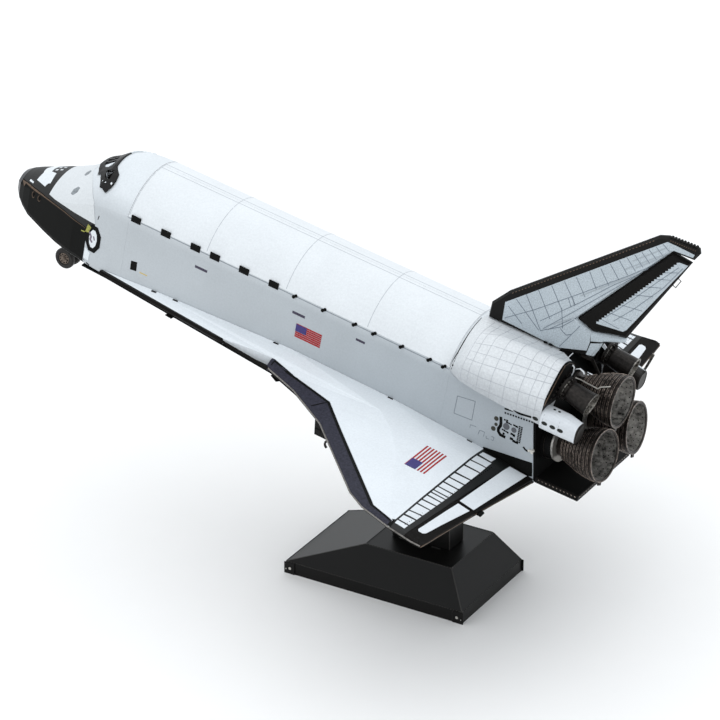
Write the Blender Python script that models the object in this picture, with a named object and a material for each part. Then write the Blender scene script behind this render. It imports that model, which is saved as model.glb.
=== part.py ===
"""Desk model of a winged space shuttle orbiter, folded from thin printed metal sheet, on its stand.

World axes in metres: X runs aft along the stand, +Y is the orbiter's right side, +Z is up.
The origin is the middle of the stand's underside. The orbiter is drawn in its own axes
(x aft, y to its right, z up) under an empty that pitches its nose up.
All sizes in this file are millimetres until a mesh is finished, where MM turns them to metres.
"""

import math

import bmesh
import bpy
from mathutils import Vector

MM = 0.001
GAP = 0.06                  # clearance between neighbouring sheets
FAR = 100.0                 # past every edge of the model, for cutters

# The orbiter's place over the stand
PITCH = math.radians(11.65)
DATUM = (-7.16, 0.0, 43.20)

# Stand: a folded hipped box with a square tube on top
BASE_LENGTH = 39.6
BASE_WIDTH = 24.0
BASE_BAND = 2.6
BASE_HEIGHT = 9.2
BASE_TOP_X = (-3.8, 15.4)
BASE_TOP_WIDTH = 16.6
POST_X = (-1.0, 11.7)
POST_WIDTH = 5.3

# Fuselage
HALF_WIDTH = 10.4
BELLY_Z = -1.0
BELLY_SHEET = 0.3
HINGE_Z = 14.3              # fold where the side wall meets the bay doors
ROOF_Z = 21.7
LOWER_CORNER = 0.6
CABIN_AFT_X = -52.6
BAY_AFT_X = 20.5
DOOR_SHEET = 0.45
AFT_X_AT_ZERO = 41.7        # the aft bulkhead leans forward as it rises
AFT_LEAN = 0.221
BULKHEAD_SHEET = 0.4

# Nose and cabin
CAP_AFT_X = -82.0
NOSE_AFT_X = -61.6          # aft edge of the black lower sheet
CABIN_WALL = 0.6
FRAME_SHEET = (0.05, 0.3)   # the windshield frame's inner and outer height over the cabin
WINDOW_AXIS_Z = 11.0        # the window cuts run outwards from a line at this height
WINDOW_REACH = (6.0, 17.0)

# Wing
DIHEDRAL = math.tan(math.radians(4.0))
WING_BOTTOM_Z = -0.7        # at the fuselage side
WING_SHEET = 0.3
EDGE_ROLL = 0.8             # how far the leading edge rolls under
ELEVON_SPLIT_Y = 29.8
ELEVON_ROOT_X = 36.9
ELEVON_TIP_X = 35.0
ELEVON_TIP_Y = 44.0

# Tail
FIN_THICK = 1.5
FIN_EDGE = 0.5
FIN_BORDER = 0.45
POD_AFT_X = 42.0
POD_INNER_Y = 0.95
POD_NOTCH = ((37.4, 0.0), (42.3, 5.2))    # inner aft corner left open beside the fin
PLATE_SHEET = 0.35
PLATE_LIP = 0.3
PLATE_LOW_Z = 18.6
PLATE_INNER_Y = 4.7
PLATE_CENTRE_Y = 9.0        # the lip spreads outwards from here

# Engines: exit centre, upward tilt and outward turn in degrees
BELL_EXIT_R = 4.95
BELL_THROAT_R = 2.0
BELL_LENGTH = 9.2
BELL_WALL = 0.35
BELL_RIBS = 9
RIB_RUN = (0.1, 0.94)       # the ribs lie between these shares of the length
RIB_HEIGHT = 0.13
DRUM_R = 3.1
DRUM_LENGTH = 4.5
COLLAR_R = 3.3
COLLAR_SHEET = 0.4
MAIN_ENGINES = (
    # name, exit x, exit y, exit z, tilt, turn
    ("top", 51.4, 0.0, 16.8, 7.0, 0.0),
    ("left", 52.9, -6.5, 8.7, 14.0, -3.5),
    ("right", 52.9, 6.5, 8.7, 14.0, 3.5),
)
OMS_BASE_Y = 8.3
OMS_BASE_Z = 19.9
OMS_TILT = math.radians(10.5)
OMS_TURN = math.radians(2.0)

# Body flap
FLAP_X = (42.45, 51.4)
FLAP_HALF_WIDTH = (10.9, 10.6)
FLAP_Z = (-0.4, 0.6)

# Landing gear
NOSE_AXLE = (-70.8, 0.0, -7.4)
MAIN_AXLE = (4.6, 14.0, -9.4)
NOSE_TYRE_R = 2.2
MAIN_TYRE_R = 2.3
WHEEL_THICK = 1.1
WHEEL_CLEAR = 0.12
TYRE_EDGE = 0.25
HUB_DISH = (0.62, 0.55, 0.2)    # dish start and end as shares of the radius, and its depth
LEG_THICK = 0.9
LEG_EYE_R = 1.0
LEG_HEAD = (1.3, 1.7)           # half length of the head: nose leg, main legs
NOSE_LEG_TOP_Z = -1.15
AXLE_R = 0.5
AXLE_BORE_R = 0.6
GEAR_DOOR_X = (-2.2, 10.2)
GEAR_DOOR_TAPER = 1.0
GEAR_DOOR_LOW_Z = -8.3
GEAR_DOOR_Y = 16.6
GEAR_DOOR_SHEET = 0.4

SIDES = (("left", -1), ("right", 1))


def clear_scene():
    for item in list(bpy.data.objects):
        bpy.data.objects.remove(item, do_unlink=True)


def make_material(name, color, roughness, metallic):
    material = bpy.data.materials.new(name)
    material.use_nodes = True
    shader = material.node_tree.nodes["Principled BSDF"]
    shader.inputs["Base Color"].default_value = (*color, 1.0)
    shader.inputs["Roughness"].default_value = roughness
    shader.inputs["Metallic"].default_value = metallic
    material.diffuse_color = (*color, 1.0)
    return material


clear_scene()
WHITE = make_material("white_printed_sheet", (0.82, 0.85, 0.88), 0.45, 0.1)
BLACK = make_material("black_printed_sheet", (0.015, 0.015, 0.016), 0.4, 0.2)
SLATE = make_material("slate_leading_edge", (0.09, 0.09, 0.13), 0.45, 0.2)
TAIL_BLUE = make_material("blue_grey_tail_sheet", (0.62, 0.70, 0.76), 0.45, 0.1)
BELL_METAL = make_material("dark_engine_metal", (0.06, 0.05, 0.045), 0.35, 0.8)
COLLAR_METAL = make_material("pale_collar_metal", (0.6, 0.57, 0.52), 0.35, 0.8)
STAND_BLACK = make_material("satin_black_stand", (0.012, 0.012, 0.012), 0.35, 0.2)
TYRE_BLACK = make_material("dark_wheel_metal", (0.05, 0.048, 0.045), 0.4, 0.6)

ORBITER = bpy.data.objects.new("orbiter_datum", None)
bpy.context.collection.objects.link(ORBITER)
ORBITER.location = [value * MM for value in DATUM]
ORBITER.rotation_euler = (0.0, PITCH, 0.0)


def finish_mesh(name, bm):
    """Close a bmesh drawn in millimetres into a mesh in metres, faces pointing out."""
    bm.normal_update()
    bmesh.ops.recalc_face_normals(bm, faces=bm.faces)
    bmesh.ops.scale(bm, vec=(MM, MM, MM), verts=bm.verts)
    mesh = bpy.data.meshes.new(name)
    bm.to_mesh(mesh)
    bm.free()
    return mesh


def place(name, mesh, material=None, parent=ORBITER, location=(0, 0, 0), rotation=None):
    """Add a piece to the scene; a piece with no material is a cutter and isn't built."""
    piece = bpy.data.objects.new(name, mesh)
    bpy.context.collection.objects.link(piece)
    piece.parent = parent
    piece.location = [value * MM for value in location]
    if rotation is not None:
        piece.rotation_euler = rotation
    if material is None:
        piece.hide_render = True
        piece.display_type = "WIRE"
    else:
        mesh.materials.clear()
        mesh.materials.append(material)
    return piece


def boolean(piece, operation, cutter):
    modifier = piece.modifiers.new(operation.lower() + "_" + cutter.name, "BOOLEAN")
    modifier.operation = operation
    modifier.object = cutter
    modifier.solver = "EXACT"


def loft(name, rings):
    """A closed skin through equal rings of points, capped at both ends."""
    bm = bmesh.new()
    loops = []
    for ring in rings:
        verts = [bm.verts.new(point) for point in ring]
        loops.append([bm.edges.new((verts[i - 1], verts[i])) for i in range(len(verts))])
    bm.faces.new([edge.verts[1] for edge in loops[0]])
    bm.faces.new([edge.verts[1] for edge in loops[-1]])
    for first, second in zip(loops, loops[1:]):
        bmesh.ops.bridge_loops(bm, edges=first + second)
    return finish_mesh(name, bm)


def prism(name, outline, axis, low, high):
    """An outline extruded between two values of one axis (0 = x, 1 = y, 2 = z)."""
    bm = bmesh.new()
    order = {0: (2, 0, 1), 1: (0, 2, 1), 2: (0, 1, 2)}[axis]
    verts = [bm.verts.new([(*point, low)[place_of] for place_of in order]) for point in outline]
    face = bm.faces.new(verts)
    top = bmesh.ops.extrude_face_region(bm, geom=[face])
    shift = [0.0, 0.0, 0.0]
    shift[axis] = high - low
    moved = [item for item in top["geom"] if isinstance(item, bmesh.types.BMVert)]
    bmesh.ops.translate(bm, vec=shift, verts=moved)
    return finish_mesh(name, bm)


def side_cutter(name, outline):
    """A cutter drawn in the x z plane that runs right across the model."""
    return place(name, prism(name, outline, 1, -FAR / 2, FAR / 2))


def turned(name, profile, steps):
    """A closed profile of (along, radius) spun round the x axis."""
    bm = bmesh.new()
    verts = [bm.verts.new((along, 0.0, radius)) for along, radius in profile]
    edges = [bm.edges.new((verts[i - 1], verts[i])) for i in range(len(verts))]
    bmesh.ops.spin(bm, geom=verts + edges, cent=(0, 0, 0), axis=(1, 0, 0),
                   angle=math.tau, steps=steps, use_merge=True)
    bmesh.ops.remove_doubles(bm, verts=bm.verts, dist=0.0005)
    mesh = finish_mesh(name, bm)
    mesh.shade_smooth()
    mesh.set_sharp_from_angle(angle=math.radians(35))
    return mesh


def softened(points, rounds):
    """A line with its corners cut again and again, its two ends kept."""
    for _ in range(rounds):
        cut = [points[0]]
        for (ax, ay), (bx, by) in zip(points, points[1:]):
            cut.append((ax * 0.75 + bx * 0.25, ay * 0.75 + by * 0.25))
            cut.append((ax * 0.25 + bx * 0.75, ay * 0.25 + by * 0.75))
        points = cut + [points[-1]]
    return points


# Fuselage sections

def roof_arc(half_width, side, top, steps):
    """Points of the circular roof from (half_width, side) up to the middle (0, top)."""
    rise = top - side
    radius = (half_width ** 2 + rise ** 2) / (2 * rise)
    reach = math.atan2(half_width, radius - rise)
    angles = [reach * (steps - i) / steps for i in range(steps + 1)]
    return [(radius * math.sin(a), top - radius + radius * math.cos(a)) for a in angles]


def body_ring(x, half_width, belly, side, top, corner, inset=0.0):
    """One whole section: flat belly, round lower corner, upright side, arched roof."""
    w, b, t, c = half_width - inset, belly + inset, top - inset, max(corner - inset, 0.2)
    quarter = [math.radians(angle) for angle in (0, 30, 60, 90)]
    half = [(0.0, b)]
    half += [(w - c + c * math.sin(a), b + c - c * math.cos(a)) for a in quarter]
    half += roof_arc(w, side, t, 10)
    other = [(-y, z) for y, z in reversed(half[1:-1])]
    return [(x, y, z) for y, z in half + other]


BAY_SECTION = (HALF_WIDTH, BELLY_Z, HINGE_Z, ROOF_Z, LOWER_CORNER)
FOREBODY = (
    # x, half width, belly, side top, roof, lower corner radius
    (-83.6, 1.6, 3.6, 5.4, 6.6, 1.0),
    (-83.1, 2.7, 2.9, 5.8, 7.3, 1.3),
    (-82.0, 3.7, 2.0, 6.1, 8.0, 1.5),
    (-80.5, 4.6, 1.1, 6.4, 8.7, 1.7),
    (-78.5, 5.5, 0.2, 6.9, 9.5, 1.8),
    (-74.0, 6.8, -0.6, 7.9, 11.5, 1.7),
    (-70.0, 7.9, -1.1, 9.0, 13.4, 1.6),
    (-67.9, 8.45, -1.15, 9.7, 14.75, 1.55),
    (-66.6, 8.8, -1.2, 10.2, 16.0, 1.5),
    (-65.4, 9.1, -1.1, 10.8, 17.2, 1.4),
    (-63.7, 9.4, -1.0, 11.6, 18.1, 1.3),
    (-60.9, 9.9, -1.0, 12.9, 20.3, 1.1),
    (-58.5, 10.15, -1.0, 13.6, 21.15, 1.0),
    (-56.2, 10.3, -1.0, 14.0, 21.5, 0.9),
    (CABIN_AFT_X, *BAY_SECTION),
)
SEAM = (
    # x, z of the seam between the upper and the lower nose sheet
    (-85.0, 6.6), (-82.0, 6.9), (-79.0, 7.5), (-74.7, 7.9), (-68.5, 7.8), (NOSE_AFT_X, 7.2),
)
SEAM_AFT_Z = SEAM[-1][1]
CABIN_FRONT = (
    # x, z of the cabin's front edge, from the seam's aft end up over the cowl
    (-59.8, SEAM_AFT_Z), (-59.8, 9.2), (-60.9, 13.4), (-62.9, 15.1), (-64.2, 15.8), (-65.6, 16.2),
)
FRAME_OUTLINE = (
    # x, z of the windshield frame seen from the side
    (-65.35, 17.3), (-64.0, 17.1), (-63.6, 16.8), (-62.9, 17.4), (-61.75, 17.0), (-61.05, 16.3),
    (-60.3, 16.4), (-59.2, 16.1), (-58.4, 17.4), (-58.2, 18.4), (-58.45, 19.3), (-60.2, 19.7),
    (-60.7, 20.7), (-60.6, 22.5), (-65.6, 22.5),
)


def forebody_mesh(name, inset=0.0):
    return loft(name, [body_ring(*row, inset=inset) for row in FOREBODY])


def build_nose():
    """Nose cap, white upper sheet and black lower sheet, cut from one form."""
    front = CAP_AFT_X + GAP
    seam = [point for point in SEAM if point[0] > front]
    start = (front, SEAM[1][1])
    corner = (CABIN_FRONT[0][0] - GAP, CABIN_FRONT[0][1] + GAP / 2)
    cowl = [(x - GAP, z - GAP / 2) for x, z in CABIN_FRONT[1:]]
    upper = [(x, z + GAP / 2) for x, z in [start] + seam]
    upper += [corner, *cowl, (cowl[-1][0], FAR), (front, FAR)]
    lower_end = (NOSE_AFT_X - GAP, SEAM_AFT_Z - GAP / 2)
    lower = [(x, z - GAP / 2) for x, z in [start] + seam[:-1]] + [lower_end]
    lower += [(lower_end[0], -FAR), (front, -FAR)]
    cap = [(-FAR, -FAR), (CAP_AFT_X, -FAR), (CAP_AFT_X, FAR), (-FAR, FAR)]
    pieces = (("nose_cap", cap, SLATE), ("nose_upper", upper, WHITE), ("nose_lower", lower, BLACK))
    for name, outline, material in pieces:
        piece = place(name, forebody_mesh(name), material)
        boolean(piece, "INTERSECT", side_cutter(name + "_cut", outline))


WINDOWS = (
    # front and aft x at the inner edge, front and aft x at the outer edge,
    # inner and outer angle from straight up, in degrees
    (-64.6, -62.2, -64.3, -62.0, 3, 10),
    (-64.4, -61.8, -63.4, -61.5, 14, 28),
    (-61.9, -59.95, -61.1, -59.85, 33.5, 45),
)


def window_mesh(name, row, side):
    """A wedge that cuts one pane, running outwards from a line inside the cabin."""
    front_in, aft_in, front_out, aft_out, inner, outer = row
    bm = bmesh.new()
    bmesh.ops.create_cube(bm, size=2.0)
    for vert in bm.verts:
        edge = (front_out, aft_out, outer) if vert.co.y > 0 else (front_in, aft_in, inner)
        x = edge[1] if vert.co.x > 0 else edge[0]
        angle = math.radians(edge[2])
        reach = WINDOW_REACH[1] if vert.co.z > 0 else WINDOW_REACH[0]
        vert.co = (x, side * reach * math.sin(angle), WINDOW_AXIS_Z + reach * math.cos(angle))
    return finish_mesh(name, bm)


def build_cabin():
    """Hollow crew cabin with its panes cut, and the black frame laid round them."""
    wall = CABIN_WALL
    step = (NOSE_AFT_X, SEAM_AFT_Z)
    aft = CABIN_AFT_X
    outline = [(step[0], -FAR), step, *CABIN_FRONT, (CABIN_FRONT[-1][0], FAR),
               (aft + 1, FAR), (aft + 1, -FAR)]
    inner_edge = [(x + wall, z + wall / 2) for x, z in CABIN_FRONT[1:]]
    hollow = [(step[0] + wall, -FAR), (step[0] + wall, step[1] - wall),
              (CABIN_FRONT[0][0] + wall, step[1] - wall), *inner_edge,
              (inner_edge[-1][0], FAR), (aft - wall, FAR), (aft - wall, -FAR)]
    void = place("cabin_void", forebody_mesh("cabin_void", inset=wall))
    boolean(void, "INTERSECT", side_cutter("hollow_cut", hollow))
    cabin = place("crew_cabin", forebody_mesh("crew_cabin"), WHITE)
    boolean(cabin, "INTERSECT", side_cutter("cabin_cut", outline))
    boolean(cabin, "DIFFERENCE", void)

    low, high = FRAME_SHEET
    frame_bed = place("frame_bed", forebody_mesh("frame_bed", inset=-low))
    frame = place("windshield_frame", forebody_mesh("windshield_frame", inset=-high), BLACK)
    boolean(frame, "INTERSECT", side_cutter("frame_cut", FRAME_OUTLINE))
    boolean(frame, "DIFFERENCE", frame_bed)
    for side_name, side in SIDES:
        for number, row in enumerate(WINDOWS, start=1):
            name = "pane_cut_%s_%d" % (side_name, number)
            pane = place(name, window_mesh(name, row, side))
            boolean(cabin, "DIFFERENCE", pane)
            boolean(frame, "DIFFERENCE", pane)


def sunk_point(y, z, depth):
    """A roof point moved towards the roof's centre line by a sheet's depth."""
    rise = ROOF_Z - HINGE_Z
    centre = Vector((0.0, ROOF_Z - (HALF_WIDTH ** 2 + rise ** 2) / (2 * rise)))
    ray = Vector((y, z)) - centre
    return tuple(centre + ray * (1 - depth / ray.length))


def build_midbody():
    """Payload bay: side walls and bed in one solid, two curved door sheets above it."""
    front, aft = CABIN_AFT_X + GAP, BAY_AFT_X - GAP
    rings, door_rings = [], []
    roof = roof_arc(HALF_WIDTH, HINGE_Z, ROOF_Z, 10)
    for x in (front, aft):
        rings.append([(x, y, z) if z <= HINGE_Z + 0.01 else (x, *sunk_point(y, z, DOOR_SHEET + GAP))
                      for x, y, z in body_ring(x, *BAY_SECTION)])
        skin = roof[1:-1]
        under = [sunk_point(y, z, DOOR_SHEET) for y, z in reversed(skin)]
        low = (roof[0][0], roof[0][1] + GAP)
        middle = [(GAP / 2, ROOF_Z), (GAP / 2, ROOF_Z - DOOR_SHEET)]
        door_rings.append([(x, y, z) for y, z in [low] + skin + middle + under])
    place("mid_fuselage", loft("mid_fuselage", rings), WHITE)
    for side_name, side in SIDES:
        name = "bay_door_" + side_name
        place(name, loft(name, [[(x, side * y, z) for x, y, z in ring] for ring in door_rings]), WHITE)


def aft_face_x(z):
    return AFT_X_AT_ZERO - AFT_LEAN * z


def build_aftbody():
    """Aft fuselage with its leaning rear face and the black bulkhead sheet over it."""
    def slanted(ring, offset):
        return [(aft_face_x(z) + offset, y, z) for x, y, z in ring]

    ring = body_ring(BAY_AFT_X, *BAY_SECTION)
    place("aft_fuselage", loft("aft_fuselage", [ring, slanted(ring, 0)]), WHITE)
    small = body_ring(BAY_AFT_X, *BAY_SECTION, inset=GAP)
    sheet = [slanted(small, GAP), slanted(small, GAP + BULKHEAD_SHEET)]
    place("aft_bulkhead", loft("aft_bulkhead", sheet), BLACK)


def build_belly():
    low = BELLY_Z - GAP - BELLY_SHEET
    edge, front_edge = HALF_WIDTH - 2 * GAP, HALF_WIDTH - LOWER_CORNER
    aft = aft_face_x(low) - 3 * GAP
    outline = [(NOSE_AFT_X, -front_edge), (CABIN_AFT_X, -edge), (aft, -edge),
               (aft, edge), (CABIN_AFT_X, edge), (NOSE_AFT_X, front_edge)]
    place("belly_sheet", prism("belly_sheet", outline, 2, low, low + BELLY_SHEET), BLACK)


# Wings

WING_STATIONS = (
    # y, leading edge x, trailing edge x, thickest height above the underside
    (HALF_WIDTH + GAP, -57.0, 41.8, 3.5),
    (15.9, -13.9, 41.3, 3.0),
    (19.2, -6.1, 41.0, 2.65),
    (25.6, 3.8, 40.4, 2.15),
    (42.1, 20.5, 39.0, 1.0),
    (44.6, 24.5, 38.9, 0.85),
    (46.6, 31.2, 38.7, 0.6),
    (47.6, 36.5, 38.5, 0.5),
)
WING_SHAPE = (
    # share of the chord, share of the height, over the top from the rolled edge to the tail
    (0.12, 0.55), (0.45, 1.0), (0.68, 0.92), (0.86, 0.62), (1.0, 0.14), (1.0, 0.0),
    (0.86, 0.0), (0.68, 0.0), (0.45, 0.0), (0.12, 0.0),
)
WING_NOSE = (
    # share of the roll, share of the height, from the underside round the rolled edge
    (1.0, 0.0), (0.3, 0.1), (0.0, 0.2), (0.6, 0.3),
)
ROLL_SHARE = 0.08           # the roll is never more than this share of the chord
WING_THIN = 0.3
EDGE_CUT = ((-13.7, 14.2), (1.7, 19.0), (25.8, 43.0), (30.9, 45.0), (31.2, FAR / 2))


def wing_bottom_z(y):
    return WING_BOTTOM_Z + DIHEDRAL * (abs(y) - HALF_WIDTH)


def wing_ring(y, front, aft, height, side):
    """One section of the wing: rolled leading edge, crest, long flat run to the trailing edge."""
    base = wing_bottom_z(y)
    chord = aft - front
    roll = min(EDGE_ROLL, ROLL_SHARE * chord)
    nose = [(front + roll * back, height * up) for back, up in WING_NOSE]
    nose[-1] = (nose[-1][0], max(nose[-1][1], WING_THIN))
    shape = [(front + chord * along, max(height * up, WING_THIN if up else 0.0))
             for along, up in WING_SHAPE]
    return [(x, side * y, base + z) for x, z in nose + shape]


def hinge_x(y):
    run = (y - HALF_WIDTH) / (ELEVON_TIP_Y - HALF_WIDTH)
    return ELEVON_ROOT_X + (ELEVON_TIP_X - ELEVON_ROOT_X) * run


def build_wings():
    """Each wing is cut in plan into its box, leading edge and two elevons."""
    tip = FAR / 2
    front = EDGE_CUT[0]
    box_edge = [(x + GAP, y - GAP) for x, y in EDGE_CUT]
    split = ELEVON_SPLIT_Y
    outlines = (
        ("wing", WHITE, [(-tip - 10, 0), (-tip - 10, front[1]), (front[0], front[1] - GAP), *box_edge[1:],
                         (hinge_x(tip), tip), (hinge_x(0), 0)]),
        ("leading_edge", SLATE, [(front[0] - 10 * GAP, front[1]), *EDGE_CUT, (front[0] - 10 * GAP, tip)]),
        ("elevon_inboard", WHITE, [(hinge_x(0) + GAP, 0), (hinge_x(split) + GAP, split - GAP),
                                   (FAR, split - GAP), (FAR, 0)]),
        ("elevon_outboard", WHITE, [(hinge_x(split) + GAP, split + GAP), (hinge_x(tip) + GAP, tip),
                                    (FAR, tip), (FAR, split + GAP)]),
    )
    for side_name, side in SIDES:
        rings = [wing_ring(*row, side) for row in WING_STATIONS]
        for part_name, material, outline in outlines:
            name = part_name + "_" + side_name
            plan = [(x, side * y) for x, y in outline]
            cutter = place(name + "_cut", prism(name + "_cut", plan, 2, -FAR / 10, FAR / 10))
            piece = place(name, loft(name, rings), material)
            boolean(piece, "INTERSECT", cutter)
        under = []
        for y, front_x, aft_x, height in WING_STATIONS:
            low = wing_bottom_z(y) - GAP
            start = front_x + min(EDGE_ROLL, ROLL_SHARE * (aft_x - front_x))
            under.append([(start, side * y, low), (aft_x, side * y, low),
                          (aft_x, side * y, low - WING_SHEET), (start, side * y, low - WING_SHEET)])
        name = "wing_underside_" + side_name
        place(name, loft(name, under), BLACK)


# Tail

FIN_OUTLINE = (
    (21.6, ROOF_Z + 0.1), (21.6, 25.0), (24.5, 28.7), (50.5, 52.5), (52.3, 53.2), (58.5, 53.4),
    (58.9, 52.4), (58.1, 50.8), (53.8, 50.6), (38.9, 29.5), (42.3, 28.1), (49.2, 30.0),
    (49.1, 28.9), (45.3, 27.3), (43.7, 23.3), (41.6, 22.6), (36.8, ROOF_Z + 0.1),
)
RUDDER_OUTLINE = ((53.88, 50.52), (57.8, 50.0), (49.3, 30.25), (42.45, 28.3), (39.1, 29.62))


def folded_plate(name, outline):
    """A flat hollow-looking plate in the x z plane: thin at its rim, full inside the border."""
    bm = bmesh.new()
    face = bm.faces.new([bm.verts.new((x, -FIN_EDGE / 2, z)) for x, z in outline])
    top = bmesh.ops.extrude_face_region(bm, geom=[face])
    moved = [item for item in top["geom"] if isinstance(item, bmesh.types.BMVert)]
    bmesh.ops.translate(bm, vec=(0, FIN_EDGE, 0), verts=moved)
    bmesh.ops.recalc_face_normals(bm, faces=bm.faces)
    sides = [item for item in bm.faces if abs(item.normal.y) > 0.9]
    bmesh.ops.inset_individual(bm, faces=sides, thickness=FIN_BORDER, depth=(FIN_THICK - FIN_EDGE) / 2)
    return finish_mesh(name, bm)


def build_fin():
    place("fin", folded_plate("fin", FIN_OUTLINE), TAIL_BLUE)
    place("rudder", folded_plate("rudder", RUDDER_OUTLINE), TAIL_BLUE)


POD_SECTIONS = (
    # x, then (y, z) over the top: crest start, crest, crest end, shoulder, outer edge, low edge
    (21.0, (3.2, 21.3), (5.4, 20.6), (7.6, 19.0), (9.6, 17.0), (11.4, 15.8), (11.4, 14.6)),
    (24.0, (4.0, 22.0), (6.6, 22.3), (8.7, 21.5), (11.0, 19.5), (12.9, 17.4), (12.9, 14.3)),
    (28.0, (4.5, 22.6), (7.3, 23.5), (9.3, 22.9), (11.7, 20.8), (13.7, 18.4), (13.6, 14.2)),
    (34.0, (4.9, 23.0), (7.7, 24.3), (9.8, 23.9), (12.2, 21.6), (14.3, 18.8), (14.2, 14.2)),
    (POD_AFT_X, (5.1, 23.3), (7.9, 24.8), (10.1, 24.6), (12.5, 22.0), (14.7, 19.0), (14.4, 14.0)),
)
POD_UNDER = (9.6, 12.6)     # y, z where the underside meets the fuselage wall
POD_FOOT_Z = (20.0, 21.85)  # inner foot beside the fin, low and high


def pod_skin(row):
    """The visible line of one section, from the fin over the crest down to the low edge."""
    return softened([(POD_INNER_Y, POD_FOOT_Z[1]), *row[1:]], 2)


def pod_mesh(name, side):
    rings = []
    for row in POD_SECTIONS:
        loop = [(POD_INNER_Y, POD_FOOT_Z[0])] + pod_skin(row) + [POD_UNDER]
        rings.append([(row[0], side * y, z) for y, z in loop])
    return loft(name, rings)


def plate_outline(side):
    """The end plate's outline: the pod's last section with a lip, cut off flat below."""
    centre = (PLATE_CENTRE_Y, PLATE_LOW_Z)
    points = [(PLATE_INNER_Y, PLATE_LOW_Z)]
    for y, z in pod_skin(POD_SECTIONS[-1]):
        if y >= PLATE_INNER_Y and z > PLATE_LOW_Z + PLATE_LIP:
            out = Vector((y, z)) - Vector(centre)
            points.append(tuple(Vector((y, z)) + out.normalized() * PLATE_LIP))
    points.append((points[-1][0], PLATE_LOW_Z))
    return [(side * y, z) for y, z in points]


HOUSING_ROWS = (
    # x, inner y, outer y, lower z, top z
    (POD_AFT_X + GAP, 10.6, 14.7, 12.9, 17.3),
    (46.5, 10.6, 14.7, 12.9, 17.3),
    (49.4, 10.9, 14.4, 12.9, 16.7),
)
HOUSING_SQUARE = 0.72


def housing_ring(x, inner, outer, low, top, side):
    """Section of a thruster housing: a rectangle with well rounded corners."""
    centre_y, half = (inner + outer) / 2, (outer - inner) / 2
    middle, rise = (low + top) / 2, (top - low) / 2
    ring = []
    for step in range(20):
        angle = math.tau * step / 20
        y = math.copysign(abs(math.cos(angle)) ** HOUSING_SQUARE, math.cos(angle))
        z = math.copysign(abs(math.sin(angle)) ** HOUSING_SQUARE, math.sin(angle))
        ring.append((x, side * (centre_y + half * y), middle + rise * z))
    return ring


OMS_PROFILE = (
    # along, radius: base ring, neck, barrel to the rim, then the open inside
    (0.0, 0.0), (0.0, 2.3), (0.5, 2.3), (0.5, 1.75), (1.2, 1.75), (1.6, 1.95), (5.9, 2.3),
    (6.1, 2.4), (6.1, 2.1), (3.2, 1.8), (2.4, 0.0),
)


def build_pods():
    """Two tail pods saddled on the roof, each with an end plate, thruster housing and engine."""
    saddle = [body_ring(x, *BAY_SECTION, inset=-GAP) for x in (BAY_AFT_X - 10, POD_AFT_X + 10)]
    saddle_cut = place("saddle_cut", loft("saddle_cut", saddle))
    (front, fin_y), (aft, open_y) = POD_NOTCH
    for side_name, side in SIDES:
        name = "oms_pod_" + side_name
        pod = place(name, pod_mesh(name, side), WHITE)
        boolean(pod, "DIFFERENCE", saddle_cut)
        plan = [(front, fin_y), (aft, side * open_y), (FAR, side * open_y), (FAR, fin_y)]
        notch = place("notch_cut_" + side_name, prism("notch_cut_" + side_name, plan, 2, 0, FAR))
        boolean(pod, "DIFFERENCE", notch)

        name = "pod_end_plate_" + side_name
        start = POD_AFT_X + GAP
        place(name, prism(name, plate_outline(side), 0, start, start + PLATE_SHEET), BLACK)
        name = "thruster_housing_" + side_name
        place(name, loft(name, [housing_ring(*row, side) for row in HOUSING_ROWS]), WHITE)
        name = "oms_engine_" + side_name
        place(name, turned(name, OMS_PROFILE, 28), BELL_METAL,
              location=(start + PLATE_SHEET + 5 * GAP, side * OMS_BASE_Y, OMS_BASE_Z),
              rotation=(0, OMS_TILT, OMS_TURN * side))


# Engines

def bell_radius(run):
    """Outer radius of a bell at a share of its length, without its ribs."""
    return BELL_THROAT_R + (BELL_EXIT_R - BELL_THROAT_R) * math.sin(run * math.pi / 2) ** 1.15


def bell_profile():
    """Ribbed outer wall from the throat to the rim, then the inner wall back to a closed floor."""
    outer = [(0.0, BELL_THROAT_R)]
    for rib in range(BELL_RIBS):
        for share, lift in ((0.35, 0.0), (0.5, RIB_HEIGHT), (0.85, RIB_HEIGHT), (1.0, 0.0)):
            run = RIB_RUN[0] + (RIB_RUN[1] - RIB_RUN[0]) * (rib + share) / BELL_RIBS
            outer.append((run * BELL_LENGTH, bell_radius(run) + lift))
    rim = BELL_EXIT_R + RIB_HEIGHT
    outer += [(0.96 * BELL_LENGTH, rim), (BELL_LENGTH, rim)]
    inner = [(run * BELL_LENGTH, bell_radius(run) - BELL_WALL) for run in (1.0, 0.85, 0.7, 0.55, 0.4, 0.28)]
    return [(0.0, 0.0)] + outer + inner + [(inner[-1][0] - BELL_WALL, 0.0)]


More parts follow.
